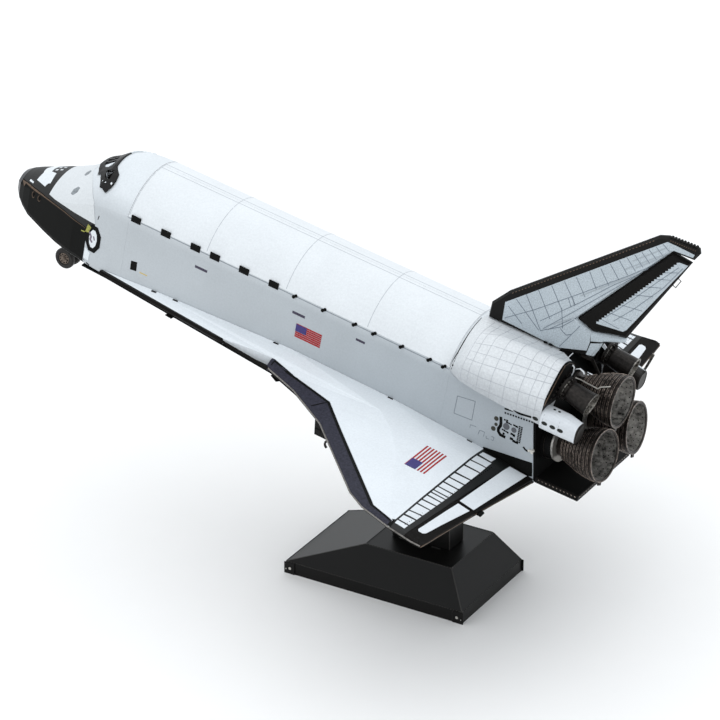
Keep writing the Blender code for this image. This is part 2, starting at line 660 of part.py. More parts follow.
def build_engines():
    """Three ribbed bells, each behind a pale ring on a drum that stands on the bulkhead."""
    clear = GAP * 2 + BULKHEAD_SHEET
    outline = [(0, -20), (aft_face_x(-20) + clear, -20), (aft_face_x(40) + clear, 40), (0, 40)]
    bulkhead_cut = side_cutter("bulkhead_cut", outline)
    ring_start = -GAP - COLLAR_SHEET
    collar = [(ring_start, 0), (ring_start, COLLAR_R), (-GAP, COLLAR_R), (-GAP, 0)]
    drum_end = ring_start - GAP
    drum_profile = [(-DRUM_LENGTH, 0), (-DRUM_LENGTH, DRUM_R), (drum_end, DRUM_R), (drum_end, 0)]
    for name, x, y, z, tilt, turn in MAIN_ENGINES:
        turn_rad, tilt_rad = math.radians(turn), math.radians(tilt)
        direction = Vector((math.cos(tilt_rad) * math.cos(turn_rad), math.sin(turn_rad),
                            math.sin(tilt_rad)))
        rotation = Vector((1, 0, 0)).rotation_difference(direction).to_euler()
        throat = Vector((x, y, z)) - direction * BELL_LENGTH
        pieces = (("main_engine_", bell_profile(), 36, BELL_METAL),
                  ("engine_collar_", collar, 28, COLLAR_METAL),
                  ("engine_drum_", drum_profile, 28, BLACK))
        for prefix, profile, steps, material in pieces:
            piece = place(prefix + name, turned(prefix + name, profile, steps), material,
                          location=throat, rotation=rotation)
        boolean(piece, "DIFFERENCE", bulkhead_cut)


def build_flap():
    front, aft = FLAP_X
    root, tip = FLAP_HALF_WIDTH
    outline = [(front, -root), (aft, -tip), (aft, tip), (front, root)]
    place("body_flap", prism("body_flap", outline, 2, *FLAP_Z), BLACK)


# Landing gear

def leg_outline(top_z, top_half):
    """Side outline of a sheet leg: a wide head that narrows to a round eye at the axle."""
    eye = []
    for step in range(13):
        angle = math.radians(-30 + 240 * step / 12)
        eye.append((-LEG_EYE_R * math.cos(angle), -LEG_EYE_R * math.sin(angle)))
    return [(-top_half, top_z), (top_half, top_z)] + eye[::-1]


def build_leg(name, axle, top_z, top_half):
    bore_profile = [(-2, 0), (-2, AXLE_BORE_R), (2, AXLE_BORE_R), (2, 0)]
    bore = place(name + "_bore", turned(name + "_bore", bore_profile, 24),
                 location=axle, rotation=(0, 0, math.pi / 2))
    outline = leg_outline(top_z - axle[2], top_half)
    leg = place(name, prism(name, outline, 1, -LEG_THICK / 2, LEG_THICK / 2), BLACK, location=axle)
    boolean(leg, "DIFFERENCE", bore)


def build_wheels(name, axle, radius):
    """Two discs on one axle, a shade clear of the leg between them."""
    near = LEG_THICK / 2 + WHEEL_CLEAR
    far = near + WHEEL_THICK
    dish_out, dish_in, depth = HUB_DISH
    half = [(near, AXLE_R), (near, radius - TYRE_EDGE), (near + TYRE_EDGE, radius),
            (far - TYRE_EDGE, radius), (far, radius - TYRE_EDGE), (far, radius * dish_out),
            (far - depth, radius * dish_in), (far - depth, 0)]
    profile = [(-along, r) for along, r in reversed(half)] + half
    place(name, turned(name, profile, 30), TYRE_BLACK, location=axle, rotation=(0, 0, math.pi / 2))


def under_wing_z(y):
    """Height of the surface under the wing at y, less the gap that neighbours keep."""
    return wing_bottom_z(y) - 2 * GAP - WING_SHEET


def build_gear():
    build_leg("nose_gear_leg", NOSE_AXLE, NOSE_LEG_TOP_Z, LEG_HEAD[0])
    build_wheels("nose_wheels", NOSE_AXLE, NOSE_TYRE_R)
    for side_name, side in SIDES:
        x, y, z = MAIN_AXLE
        axle = (x, side * y, z)
        build_leg("main_gear_leg_" + side_name, axle, under_wing_z(y), LEG_HEAD[1])
        build_wheels("main_wheels_" + side_name, axle, MAIN_TYRE_R)
        (front, aft), taper = GEAR_DOOR_X, GEAR_DOOR_TAPER
        door_top = under_wing_z(GEAR_DOOR_Y)
        outline = [(front, door_top), (aft, door_top), (aft - taper, GEAR_DOOR_LOW_Z),
                   (front + taper, GEAR_DOOR_LOW_Z)]
        name = "main_gear_door_" + side_name
        near = side * GEAR_DOOR_Y - GEAR_DOOR_SHEET / 2
        place(name, prism(name, outline, 1, near, near + GEAR_DOOR_SHEET), BLACK)


# Stand

def belly_world_z(world_x):
    """World height of the underside of the belly sheet, less a gap, above a point of the stand."""
    under = BELLY_Z - 2 * GAP - BELLY_SHEET
    c, s = math.cos(PITCH), math.sin(PITCH)
    local_x = (world_x - DATUM[0] - s * under) / c
    return DATUM[2] - s * local_x + c * under


def build_stand():
    """Hipped base with an upright band, and the square tube that meets the belly."""
    half_l, half_w, half_t = BASE_LENGTH / 2, BASE_WIDTH / 2, BASE_TOP_WIDTH / 2

    def ring(low_x, high_x, half, z):
        return [(low_x, -half, z), (high_x, -half, z), (high_x, half, z), (low_x, half, z)]

    rings = [ring(-half_l, half_l, half_w, 0), ring(-half_l, half_l, half_w, BASE_BAND),
             ring(*BASE_TOP_X, half_t, BASE_HEIGHT)]
    place("stand_base", loft("stand_base", rings), STAND_BLACK, parent=None)
    front, aft = POST_X
    foot = BASE_HEIGHT + GAP
    outline = [(front, foot), (aft, foot), (aft, belly_world_z(aft)), (front, belly_world_z(front))]
    post = prism("stand_post", outline, 1, -POST_WIDTH / 2, POST_WIDTH / 2)
    place("stand_post", post, STAND_BLACK, parent=None)


build_stand()
build_nose()
build_cabin()
build_midbody()
build_aftbody()
build_belly()
build_wings()
build_fin()
build_pods()
build_engines()
build_flap()
build_gear()
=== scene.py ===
"""Looks of a folded sheet-metal desk model of a space shuttle orbiter on its black stand.

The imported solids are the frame. Each section below dresses one piece or group of like pieces:
its sizes, prints, added fittings and finish. Sizes are millimetres. The orbiter's own axes are
x aft, y to its right and z up; ORBITER turns them into the frame's metres.
"""

import math

import bmesh
import bpy
from mathutils import Matrix, Vector
from mathutils.bvhtree import BVHTree


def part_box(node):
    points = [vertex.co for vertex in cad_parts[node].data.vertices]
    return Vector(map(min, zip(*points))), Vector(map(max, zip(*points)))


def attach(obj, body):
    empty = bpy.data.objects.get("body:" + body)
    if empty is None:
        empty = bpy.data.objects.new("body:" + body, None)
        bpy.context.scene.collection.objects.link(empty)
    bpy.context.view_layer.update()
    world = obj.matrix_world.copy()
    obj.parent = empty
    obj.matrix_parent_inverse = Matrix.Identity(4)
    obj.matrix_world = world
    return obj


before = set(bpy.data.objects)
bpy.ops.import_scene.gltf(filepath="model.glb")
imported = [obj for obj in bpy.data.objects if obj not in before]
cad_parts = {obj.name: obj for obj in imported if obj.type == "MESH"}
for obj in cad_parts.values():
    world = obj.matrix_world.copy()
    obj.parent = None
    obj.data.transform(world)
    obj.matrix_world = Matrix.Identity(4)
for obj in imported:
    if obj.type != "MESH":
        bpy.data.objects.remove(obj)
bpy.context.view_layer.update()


# The stand's base is one sheet of black printed steel, folded down from a flat top into a hipped
# box. Its folds are half-cut dotted lines, and its skirt is closed at the corners by small tabs
# that pass through each other and are twisted.

MM = 0.001
MODEL = "model"
SIDES = (("left", -1), ("right", 1))


def shader_node(tree, kind, settings=None, feeds=None):
    """Add a shader node, set its properties, and feed its sockets values or links."""
    made = tree.nodes.new("ShaderNode" + kind)
    for key, value in (settings or {}).items():
        setattr(made, key, value)
    for socket, value in (feeds or {}).items():
        if isinstance(value, bpy.types.NodeSocket):
            tree.links.new(value, made.inputs[socket])
        else:
            made.inputs[socket].default_value = value
    return made


def make_group(name, inputs, outputs):
    """A shader node group with named sockets, and its inner ends."""
    group = bpy.data.node_groups.new(name, "ShaderNodeTree")
    for socket, kind, value in inputs:
        made = group.interface.new_socket(socket, in_out="INPUT", socket_type=kind)
        if value is not None:
            made.default_value = value
    for socket, kind in outputs:
        group.interface.new_socket(socket, in_out="OUTPUT", socket_type=kind)
    return group, group.nodes.new("NodeGroupInput"), group.nodes.new("NodeGroupOutput")


def make_print_grain():
    """Printed colour on steel sheet: fine speckle and a slow drift of tone, with a faint tooth."""
    group, given, out = make_group(
        "print_grain",
        (("Place", "NodeSocketVector", None), ("Colour", "NodeSocketColor", None),
         ("Speckle", "NodeSocketFloat", 0.06), ("Drift", "NodeSocketFloat", 0.03),
         ("Fineness", "NodeSocketFloat", 2.6)),
        (("Colour", "NodeSocketColor"), ("Height", "NodeSocketFloat")))
    fine = shader_node(group, "TexNoise", None, {"Vector": given.outputs["Place"],
                       "Scale": given.outputs["Fineness"], "Detail": 2.0, "Roughness": 0.6})
    slow = shader_node(group, "TexNoise", None, {"Vector": given.outputs["Place"], "Scale": 0.11,
                       "Detail": 2.0})
    shares = []
    for noise, amount in ((fine, "Speckle"), (slow, "Drift")):
        centred = shader_node(group, "Math", {"operation": "SUBTRACT"}, {0: noise.outputs[0], 1: 0.5})
        scaled = shader_node(group, "Math", {"operation": "MULTIPLY"},
                             {0: centred.outputs[0], 1: given.outputs[amount]})
        shares.append(scaled)
    total = shader_node(group, "Math", {"operation": "ADD"},
                        {0: shares[0].outputs[0], 1: shares[1].outputs[0]})
    factor = shader_node(group, "Math", {"operation": "MULTIPLY_ADD"},
                         {0: total.outputs[0], 1: 4.0, 2: 1.0})
    tinted = shader_node(group, "VectorMath", {"operation": "SCALE"},
                         {0: given.outputs["Colour"], "Scale": factor.outputs[0]})
    group.links.new(tinted.outputs[0], out.inputs["Colour"])
    group.links.new(fine.outputs[0], out.inputs["Height"])
    return group


PRINT_GRAIN = make_print_grain()


def millimetres(tree):
    """Object coordinates in millimetres, for pieces drawn in the frame's own axes."""
    place = shader_node(tree, "TexCoord")
    return shader_node(tree, "Mapping", None, {"Vector": place.outputs["Object"],
                       "Scale": (1 / MM,) * 3}).outputs[0]


def sheet_finish(name, colour, roughness=0.45, metallic=0.0, speckle=0.05, drift=0.03, fineness=2.6,
                 bump=0.03, specular=0.5, axes=millimetres, pattern=None):
    """Printed or bare steel sheet; pattern(tree, place, colour) may print more colours on it."""
    material = bpy.data.materials.new(name)
    material.use_nodes = True
    tree = material.node_tree
    shader = tree.nodes["Principled BSDF"]
    place = axes(tree)
    base = (*colour, 1.0)
    if pattern is not None:
        base = pattern(tree, place, base)
    grain = shader_node(tree, "Group", {"node_tree": PRINT_GRAIN}, {"Place": place, "Colour": base,
                        "Speckle": speckle, "Drift": drift, "Fineness": fineness})
    tooth = shader_node(tree, "Bump", None, {"Height": grain.outputs["Height"], "Strength": bump,
                        "Distance": 0.05 * MM})
    tree.links.new(grain.outputs["Colour"], shader.inputs["Base Color"])
    tree.links.new(tooth.outputs[0], shader.inputs["Normal"])
    shader.inputs["Roughness"].default_value = roughness
    shader.inputs["Metallic"].default_value = metallic
    shader.inputs["Specular IOR Level"].default_value = specular
    return material


def dress(nodes, material):
    """Give carried-over solids their finish."""
    for name in nodes:
        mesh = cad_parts[name].data
        mesh.materials.clear()
        mesh.materials.append(material)


def finish_piece(name, bm, material, body=MODEL, place=None, smooth=False):
    """Turn a bmesh drawn in millimetres into a piece of the model that rides on a body."""
    bmesh.ops.recalc_face_normals(bm, faces=bm.faces)
    bm.transform(Matrix.Scale(MM, 4) if place is None else place)
    mesh = bpy.data.meshes.new(name)
    bm.to_mesh(mesh)
    bm.free()
    if smooth:
        mesh.shade_smooth()
        mesh.set_sharp_from_angle(angle=math.radians(35))
    mesh.materials.append(material)
    piece = bpy.data.objects.new(name, mesh)
    bpy.context.scene.collection.objects.link(piece)
    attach(piece, body)
    return piece


def add_block(bm, centre, size, turn=None, bevel=0.0):
    """A small folded or stamped block with its edges eased."""
    place = Matrix.Translation(centre)
    if turn is not None:
        place = place @ turn
    place = place @ Matrix.Diagonal((*size, 1.0))
    made = bmesh.ops.create_cube(bm, size=1.0, matrix=place)
    if bevel:
        edges = {edge for vert in made["verts"] for edge in vert.link_edges}
        bmesh.ops.bevel(bm, geom=list(edges), offset=bevel, segments=1, profile=0.5, affect="EDGES",
                        material=-1)


def add_rod(bm, start, end, radius, sides=10):
    """A short round pin between two points."""
    start, end = Vector(start), Vector(end)
    way = end - start
    turn = way.to_track_quat("Z", "Y").to_matrix().to_4x4()
    bmesh.ops.create_cone(bm, cap_ends=True, segments=sides, radius1=radius, radius2=radius,
                          depth=way.length, matrix=Matrix.Translation((start + end) / 2) @ turn)


BASE_HALF = (19.8, 12.0)
BASE_BAND = 2.6
BASE_TOP = 9.2
BASE_TOP_X = (-3.8, 15.4)
BASE_TOP_HALF = 8.3
FOLD_PITCH = 0.62           # from dot to dot along a half-cut fold
FOLD_DOT = (0.34, 0.16, 0.05)
FOLD_LINE = (0.2, 0.03)

stand_black = sheet_finish("stand_black_sheet", (0.0032, 0.003, 0.0027), roughness=0.38, speckle=0.16,
                           drift=0.1, bump=0.08, specular=0.17)
# Paler lines along the folds.
pale_fold_ink = sheet_finish("stand_pale_fold_line", (0.03, 0.029, 0.026), roughness=0.4, specular=0.3)
stand_dot = sheet_finish("stand_fold_slot", (0.0015, 0.0015, 0.0015), roughness=0.8, specular=0.1)
bare_steel = sheet_finish("bare_cut_steel", (0.62, 0.6, 0.56), roughness=0.28, metallic=1.0,
                          speckle=0.1, drift=0.08)
dress(("stand_base", "stand_post"), stand_black)

FOLD_BEVEL = 0.012
FOLD_END_GAP, DOT_END_GAP = 0.2, 1.2    # how far the folds and their rows of dots stop short in all


def oblong(low_a, high_a, low_b, high_b):
    """The corners of an oblong, in order."""
    return [(low_a, low_b), (high_a, low_b), (high_a, high_b), (low_a, high_b)]


hip_rings = [[Vector((x, y, z)) for x, y in oblong(low, high, -half, half)] for low, high, half, z in (
    (-BASE_HALF[0], BASE_HALF[0], BASE_HALF[1], BASE_BAND), (*BASE_TOP_X, BASE_TOP_HALF, BASE_TOP))]
folds = [(ring[i - 1], ring[i]) for ring in hip_rings for i in range(4)]
hips = list(zip(*hip_rings))
stand_middle = Vector((sum(BASE_TOP_X) / 2, 0.0, BASE_BAND))
fold_bm, dot_bm = bmesh.new(), bmesh.new()
for start, end in folds + hips:
    way = (end - start).normalized()
    middle = (start + end) / 2
    outward = middle - stand_middle
    outward = (outward - way * outward.dot(way)).normalized()
    turn = Matrix((way, outward.cross(way) * -1, outward)).transposed().to_4x4()
    add_block(fold_bm, middle, ((end - start).length - FOLD_END_GAP, *FOLD_LINE), turn, FOLD_BEVEL)
    if (start, end) in hips:
        continue
    count = int(((end - start).length - DOT_END_GAP) / FOLD_PITCH)
    for step in range(count + 1):
        add_block(dot_bm, middle + way * FOLD_PITCH * (step - count / 2), FOLD_DOT, turn)
finish_piece("stand_fold_lines", fold_bm, pale_fold_ink)
finish_piece("stand_fold_slots", dot_bm, stand_dot)

CORNER_TAB = (2.4, 0.22, 2.5)       # length along the skirt, thickness, height
CORNER_LAP = 0.35                   # how far a tab passes the corner
TAB_PINS = (
    # distance from the tab's end, height and radius of its twist and of the small dot beside it
    (1.35, 1.25, 0.3), (0.45, 1.0, 0.12),
)
PIN_HEIGHT = 0.05
tab_bm, pin_bm = bmesh.new(), bmesh.new()
for end_x in (-1, 1):
    for end_y in (-1, 1):
        x = end_x * (BASE_HALF[0] - CORNER_TAB[0] / 2 + CORNER_LAP)
        y = end_y * (BASE_HALF[1] + CORNER_TAB[1] / 2)
        add_block(tab_bm, (x, y, CORNER_TAB[2] / 2), CORNER_TAB, bevel=0.06)
        face_y = y + end_y * CORNER_TAB[1] / 2
        for along, high, radius in TAB_PINS:
            pin_x = end_x * (BASE_HALF[0] + CORNER_LAP - along)
            add_rod(pin_bm, (pin_x, face_y, high), (pin_x, face_y + end_y * PIN_HEIGHT, high), radius)
finish_piece("stand_corner_tabs", tab_bm, stand_black)
finish_piece("stand_tab_twists", pin_bm, bare_steel, smooth=True)


# The post is a square tube of the same sheet, folded round and tabbed into the base's top. Its
# foot shows the slots that its tabs pass through, and its fold edges are a shade paler.

POST_X = (-1.0, 11.7)
POST_HALF = 2.65
PITCH = math.radians(11.65)         # the orbiter's nose-up tilt, to which the post's top is cut
SEAM_WIDTH = 0.14
SEAM_GAPS = (0.1, 0.35)             # how far a fold's line stops short, at the base and at the top
POST_SLOT = (2.0, 0.3, 0.08)
POST_SLOT_X = (1.6, 8.9)
POST_SLOT_Y = POST_HALF + 0.25

post_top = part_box("stand_post")[1].z / MM
seam_bm = bmesh.new()
for x in POST_X:
    low = BASE_TOP + SEAM_GAPS[0]
    high = post_top - (x - POST_X[0]) * math.tan(PITCH) - SEAM_GAPS[1]
    for y in (-POST_HALF, POST_HALF):
        add_block(seam_bm, (x, y, (low + high + SEAM_GAPS[0]) / 2), (SEAM_WIDTH, SEAM_WIDTH, high - low),
                  bevel=0.03)
finish_piece("stand_post_folds", seam_bm, pale_fold_ink)
slot_bm = bmesh.new()
for x in POST_SLOT_X:
    for y in (-POST_SLOT_Y, POST_SLOT_Y):
        add_block(slot_bm, (x, y, BASE_TOP + 0.03), POST_SLOT, bevel=0.02)
finish_piece("stand_post_tabs", slot_bm, pale_fold_ink)


# The nose is three sheets: a rounded slate cap, a black lower sheet with the belly folded into it,
# and a white upper sheet whose front and lower edge are printed black. The lower sheet's rolled
# top edge catches the light as a thin bronze line, and two thruster ports are cut near its front.

DATUM = Vector((-7.16, 0.0, 43.20))
ORBITER = Matrix.Translation(DATUM * MM) @ Matrix.Rotation(PITCH, 4, "Y") @ Matrix.Scale(MM, 4)
FAR = 90.0                  # prints are cast on to the sheet from this far out
PRINT_SINK = 0.03           # how far a print's hidden underside lies in the sheet
PRINT_LIFT = 0.03


def orbiter_axes(tree):
    """Object coordinates turned into the orbiter's own axes, in millimetres."""
    place = shader_node(tree, "TexCoord")
    back = Matrix.Rotation(-PITCH, 3, "Y")
    return shader_node(tree, "Mapping", None, {"Vector": place.outputs["Object"],
                       "Scale": (1 / MM,) * 3, "Rotation": (0.0, -PITCH, 0.0),
                       "Location": -(back @ DATUM)}).outputs[0]


def reach_along(tree, place, way):
    """How far a place lies along some way."""
    dot = shader_node(tree, "VectorMath", {"operation": "DOT_PRODUCT"}, {0: place, 1: way})
    return dot.outputs["Value"]


def beyond(tree, place, normal, offset):
    """A mask that is 1 where the place lies past a plane."""
    return combine(tree, "GREATER_THAN", reach_along(tree, place, normal), offset)


def combine(tree, operation, *values):
    """Join masks or values, two by two, with one operation."""
    joined = values[0]
    for value in values[1:]:
        joined = shader_node(tree, "Math", {"operation": operation}, {0: joined, 1: value}).outputs[0]
    return joined


def fade(tree, value, low, high):
    """A mask that rises from 0 to 1 while a value goes from low to high."""
    return shader_node(tree, "MapRange", None, {0: value, 1: low, 2: high}).outputs[0]


def part_of(tree, place, axis):
    """One of the place's three coordinates."""
    return shader_node(tree, "SeparateXYZ", None, {0: place}).outputs[axis]


def overprint(tree, mask, under, over):
    """Lay a second colour over the first where the mask is 1."""
    mix = shader_node(tree, "Mix", {"data_type": "RGBA"}, {"Factor": mask, 6: under, 7: over})
    return mix.outputs[2]


def surface_of(nodes):
    """The outer surface of some solids in the orbiter's axes, for laying prints on."""
    bm = bmesh.new()
    for name in nodes:
        bm.from_mesh(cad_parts[name].data)
    bm.transform(ORBITER.inverted())
    tree = BVHTree.FromBMesh(bm)
    bm.free()
    return tree


def from_side(side):
    """Prints drawn in x and z, seen square on from one side."""
    return lambda a, b: (Vector((a, side * FAR, b)), Vector((0, -side, 0)))


def from_above(a, b):
    """Prints drawn in x and y, seen from above."""
    return Vector((a, b, FAR)), Vector((0, 0, -1))


def wrapped(centre_y, centre_z):
    """Prints drawn in x and degrees round a fore-and-aft axis: 0 right, 90 up, 180 left."""
    def ray(a, b):
        out = Vector((0, math.cos(math.radians(b)), math.sin(math.radians(b))))
        return Vector((a, centre_y, centre_z)) + out * FAR, -out
    return ray


def mirrored(outlines):
    return [[(a, -b) for a, b in outline] for outline in outlines]


def orbiter_part(name, bm, material, body=MODEL, place=ORBITER, smooth=False):
    """Finish a piece that is drawn in the orbiter's own axes."""
    return finish_piece(name, bm, material, body, place, smooth)


def thicken(bm, way):
    """Grow flat faces into a plate."""
    grown = bmesh.ops.extrude_face_region(bm, geom=bm.faces[:])
    moved = [item for item in grown["geom"] if isinstance(item, bmesh.types.BMVert)]
    bmesh.ops.translate(bm, vec=way, verts=moved)


def cut_plate(corners, way):
    """A plate cut to some corners and as thick as the way is long."""
    bm = bmesh.new()
    bm.faces.new([bm.verts.new(corner) for corner in corners])
    thicken(bm, way)
    return bm


def stroke(points, width):
    """The outline of a line of some width through points, its corners mitred."""
    points = [Vector(point) for point in points]
    sides = ([], [])
    for i, point in enumerate(points):
        before = (point - points[i - 1]).normalized() if i else None
        after = (points[i + 1] - point).normalized() if i < len(points) - 1 else None
        way = (before or after) + (after or before)
        way.normalize()
        reach = width / 2 / max((before or after).dot(way), 0.5)
        across = Vector((-way.y, way.x)) * reach
        sides[0].append(tuple(point + across))
        sides[1].append(tuple(point - across))
    return sides[0] + sides[1][::-1]


def round_dot(a, b, radius, stretch=1.0, sides=12):
    return [(a + radius * math.cos(math.tau * i / sides),
             b + radius * stretch * math.sin(math.tau * i / sides)) for i in range(sides)]


def printed(name, ink, nodes, ray, outlines, lift=PRINT_LIFT, cell=(0.0, 0.0), body=MODEL):
    """A print laid on solids: each outline becomes a thin closed patch that follows the surface.

    With no nodes given the ray's own start is the place, for prints on a flat face. Points past
    the sheet's edge are drawn in to it.
    """
    surface = surface_of(nodes) if nodes else None
    bm = bmesh.new()
    for outline in outlines:
        bm.faces.new([bm.verts.new((a, b, 0.0)) for a, b in outline])
    for axis, step in enumerate(cell):
        if not step:
            continue
        low = min(vert.co[axis] for vert in bm.verts)
        high = max(vert.co[axis] for vert in bm.verts)
        normal = Vector((0, 0, 0))
        normal[axis] = 1.0
        for i in range(1, int((high - low) / step) + 1):
            geom = bm.verts[:] + bm.edges[:] + bm.faces[:]
            bmesh.ops.bisect_plane(bm, geom=geom, plane_co=normal * (low + i * step), plane_no=normal,
                                   dist=0.002)
    thicken(bm, (0, 0, 1.0))
    rays = [(vert, *ray(vert.co.x, vert.co.y)) for vert in bm.verts]
    hits = [start if surface is None else surface.ray_cast(start, way)[0] for _, start, way in rays]
    depths = [(hit - start).length for hit, (_, start, _) in zip(hits, rays) if hit is not None]
    depth = sum(depths) / max(len(depths), 1)
    for (vert, start, way), hit in zip(rays, hits):
        if hit is None:
            hit = surface.find_nearest(start + way * depth)[0]
        vert.co = hit - way * (lift if vert.co.z > 0.5 else -PRINT_SINK)
    return orbiter_part(name, bm, ink, body)


def ink(name, colour, roughness=0.45, specular=0.3, **more):
    return sheet_finish(name, colour, roughness=roughness, specular=specular, axes=orbiter_axes, **more)


BLACK = (0.0042, 0.0044, 0.004)
WHITE = (0.68, 0.715, 0.74)
black_ink = ink("black_print", BLACK, 0.5, speckle=0.12, drift=0.08, specular=0.06)
white_ink = ink("white_print", WHITE, 0.5, specular=0.3)
grey_ink = ink("grey_line_print", (0.22, 0.245, 0.27), 0.5, specular=0.2)
# The cap's slate-blue is partly its own grey and partly a painted sheen.
slate_and_sheen = ink("slate_cap_print_and_sheen", (0.017, 0.018, 0.022), 0.3, metallic=0.2, speckle=0.2, drift=0.15,
                  specular=0.4)
bronze_edge = ink("bronze_cut_edge", (0.11, 0.075, 0.052), 0.3, metallic=0.8, speckle=0.4, drift=0.2)

NOSE_BLACK_AFT_X = -73.2    # the black front of the upper sheet ends here
BAND_SLOPE = (0.0335, 11.055)   # the black band's upper edge: z = slope x + height


def nose_print(tree, place, white):
    """White, with a black front and a black band above the seam."""
    front = beyond(tree, place, (-1.0, 0.0, 0.035), -NOSE_BLACK_AFT_X + 0.3)
    slope, height = BAND_SLOPE
    band = beyond(tree, place, (slope, 0.0, -1.0), -height)
    dark = combine(tree, "MAXIMUM", front, band)
    return overprint(tree, dark, white, (*BLACK, 1.0))


nose_upper_print = ink("nose_upper_print", (0.605, 0.63, 0.645), 0.48, pattern=nose_print)
dress(("nose_upper",), nose_upper_print)
dress(("nose_lower", "belly_sheet", "wing_underside_left", "wing_underside_right"), black_ink)
dress(("nose_cap",), slate_and_sheen)

FRONT_PATCH = (
    # x, y of the white patch in the black front, left half; it meets its mirror image on the crest
    (-78.7, 0.0), (-78.5, -1.0), (-78.15, -2.0), (-78.25, -3.8), (-75.3, -5.3), (-75.0, -4.75),
    (-74.45, -4.7), (-75.05, -2.1), (-76.6, -1.4), (-76.8, 0.0),
)
front_patch = [list(FRONT_PATCH)]
printed("nose_front_patch", white_ink, ("nose_upper",), from_above,
        front_patch + mirrored(front_patch), cell=(0.7, 0.7))
crest_marks = [[(-76.2, -0.9), (-75.6, -0.95), (-75.6, -0.4), (-76.2, -0.35)],
               [(-75.1, -0.85), (-74.5, -0.9), (-74.5, -0.45), (-75.1, -0.4)]]
printed("nose_crest_marks", white_ink, ("nose_upper",), from_above,
        crest_marks + mirrored(crest_marks))

SEAM = ((-81.9, 6.95), (-79.0, 7.45), (-74.7, 7.86), (-68.5, 7.75), (-62.0, 7.2))
ROLL_WIDTH = (0.12, 0.24, 0.28, 0.2, 0.1)     # the rolled edge is widest amidships
SEAM_DROP = 0.04
NOSE_PORT_RIMS = ((-77.35, 6.3, 0.42, 1.7), (-75.6, 6.4, 0.42, 1.6))
NOSE_PORT_BORES = ((-77.3, 6.36, 0.33, 1.75), (-75.55, 6.46, 0.33, 1.65))
SEAM_TICK = ((-79.9, 7.62), (-78.6, 7.86), (-78.6, 8.06), (-79.9, 7.86))
for side_name, side in SIDES:
    way = from_side(side)
    upper = [(x, z - SEAM_DROP) for x, z in SEAM]
    lower = [(x, z - SEAM_DROP - width) for (x, z), width in zip(SEAM, ROLL_WIDTH)]
    printed("nose_rolled_edge_" + side_name, bronze_edge, ("nose_lower", "nose_cap"),
            way, [upper + lower[::-1]], lift=0.08, cell=(1.5, 0.0))
    printed("nose_port_rims_" + side_name, bronze_edge, ("nose_lower",), way,
            [round_dot(*port) for port in NOSE_PORT_RIMS])
    printed("nose_port_bores_" + side_name, stand_dot, ("nose_lower",), way,
            [round_dot(*port) for port in NOSE_PORT_BORES], lift=0.05)
    printed("nose_seam_tick_" + side_name, white_ink, ("nose_upper",), way, [SEAM_TICK],
            lift=0.06)

hex_ink = ink("grey_hexagon_print", (0.21, 0.232, 0.247), 0.5, speckle=0.3)
VENT_MARKS = (
    # middle, and half its long and short way, in x and sideways, of each six-sided mark
    ((-67.09, 7.15), (0.9, -0.1), (-0.35, -0.62)), ((-67.12, 3.39), (0.7, -0.1), (-0.4, -0.9)),
)
for side_name, side in SIDES:
    marks = []
    for (x, y), along, across in VENT_MARKS:
        marks.append([(x + along[0] * c + across[0] * s, side * (y + along[1] * c + across[1] * s))
                      for c, s in round_dot(0, 0, 1, sides=6)])
    printed("nose_vent_marks_" + side_name, hex_ink, ("nose_upper",), from_above,
            marks, cell=(0.5, 0.5))

NOSE_TABS = (
    # x, sideways and z of each folded tab under the nose, and its size
    (-78.6, 1.6, -0.15, (1.5, 0.3, 0.7)), (-62.6, 5.12, -1.25, (1.6, 0.3, 0.5)),
)
nose_tab_bm = bmesh.new()
for x, y, z, size in NOSE_TABS:
    for side in (-1, 1):
        add_block(nose_tab_bm, (x, side * y, z), size, bevel=0.08)
orbiter_part("nose_belly_tabs", nose_tab_bm, black_ink)


# The cabin is one white sheet rolled over the flight deck, closed at the front by the black
# windshield frame laid over its cut panes. The side hatch is a printed ring, half on the black
# nose sheet, with an olive patch beside it.

hatch_olive = ink("olive_patch_print", (0.30, 0.30, 0.06), 0.5, speckle=0.5)
violet_ink = ink("violet_smudge_print", (0.16, 0.13, 0.17), 0.5, speckle=0.3)

# The walls' tones are painted shade: greyer than the sheet's white low on the side and darker
# towards the tail, turning to the roof's white over the top. They are picked so that the walls look
# as they do in the photo.
SHADED_WALL_TONES = ((0.46, 0.49, 0.512), (0.385, 0.42, 0.447))    # side walls at the nose and at the tail
WALL_SHADE_RUN = (-62.0, 40.0)
ROOF_WHITE = (0.655, 0.69, 0.715)
WALL_SHADE_FADE = (12.5, 17.5)            # heights between which the walls' tone turns to the roof's
CABIN_AXIS_Z = 10.0
# Painted shade for the inner faces of rolled sheets.
INSIDE_SHADE = (0.008, 0.007, 0.0065)
# The frame is white above this z, aft of this x and right of this y. The corner is on the right
# alone: it was picked for the photo's view, and nothing shows that the real frame has it.
WHITE_CORNER = (18.5, -61.2, 1.0)


def shaded_hull_pattern(tree, place, white):
    """Painted shade on the side walls: pale grey, a little darker towards the tail, white over the roof."""
    walls = overprint(tree, fade(tree, part_of(tree, place, 0), *WALL_SHADE_RUN), white, (*SHADED_WALL_TONES[1], 1.0))
    return overprint(tree, fade(tree, part_of(tree, place, 2), *WALL_SHADE_FADE), walls, (*ROOF_WHITE, 1.0))


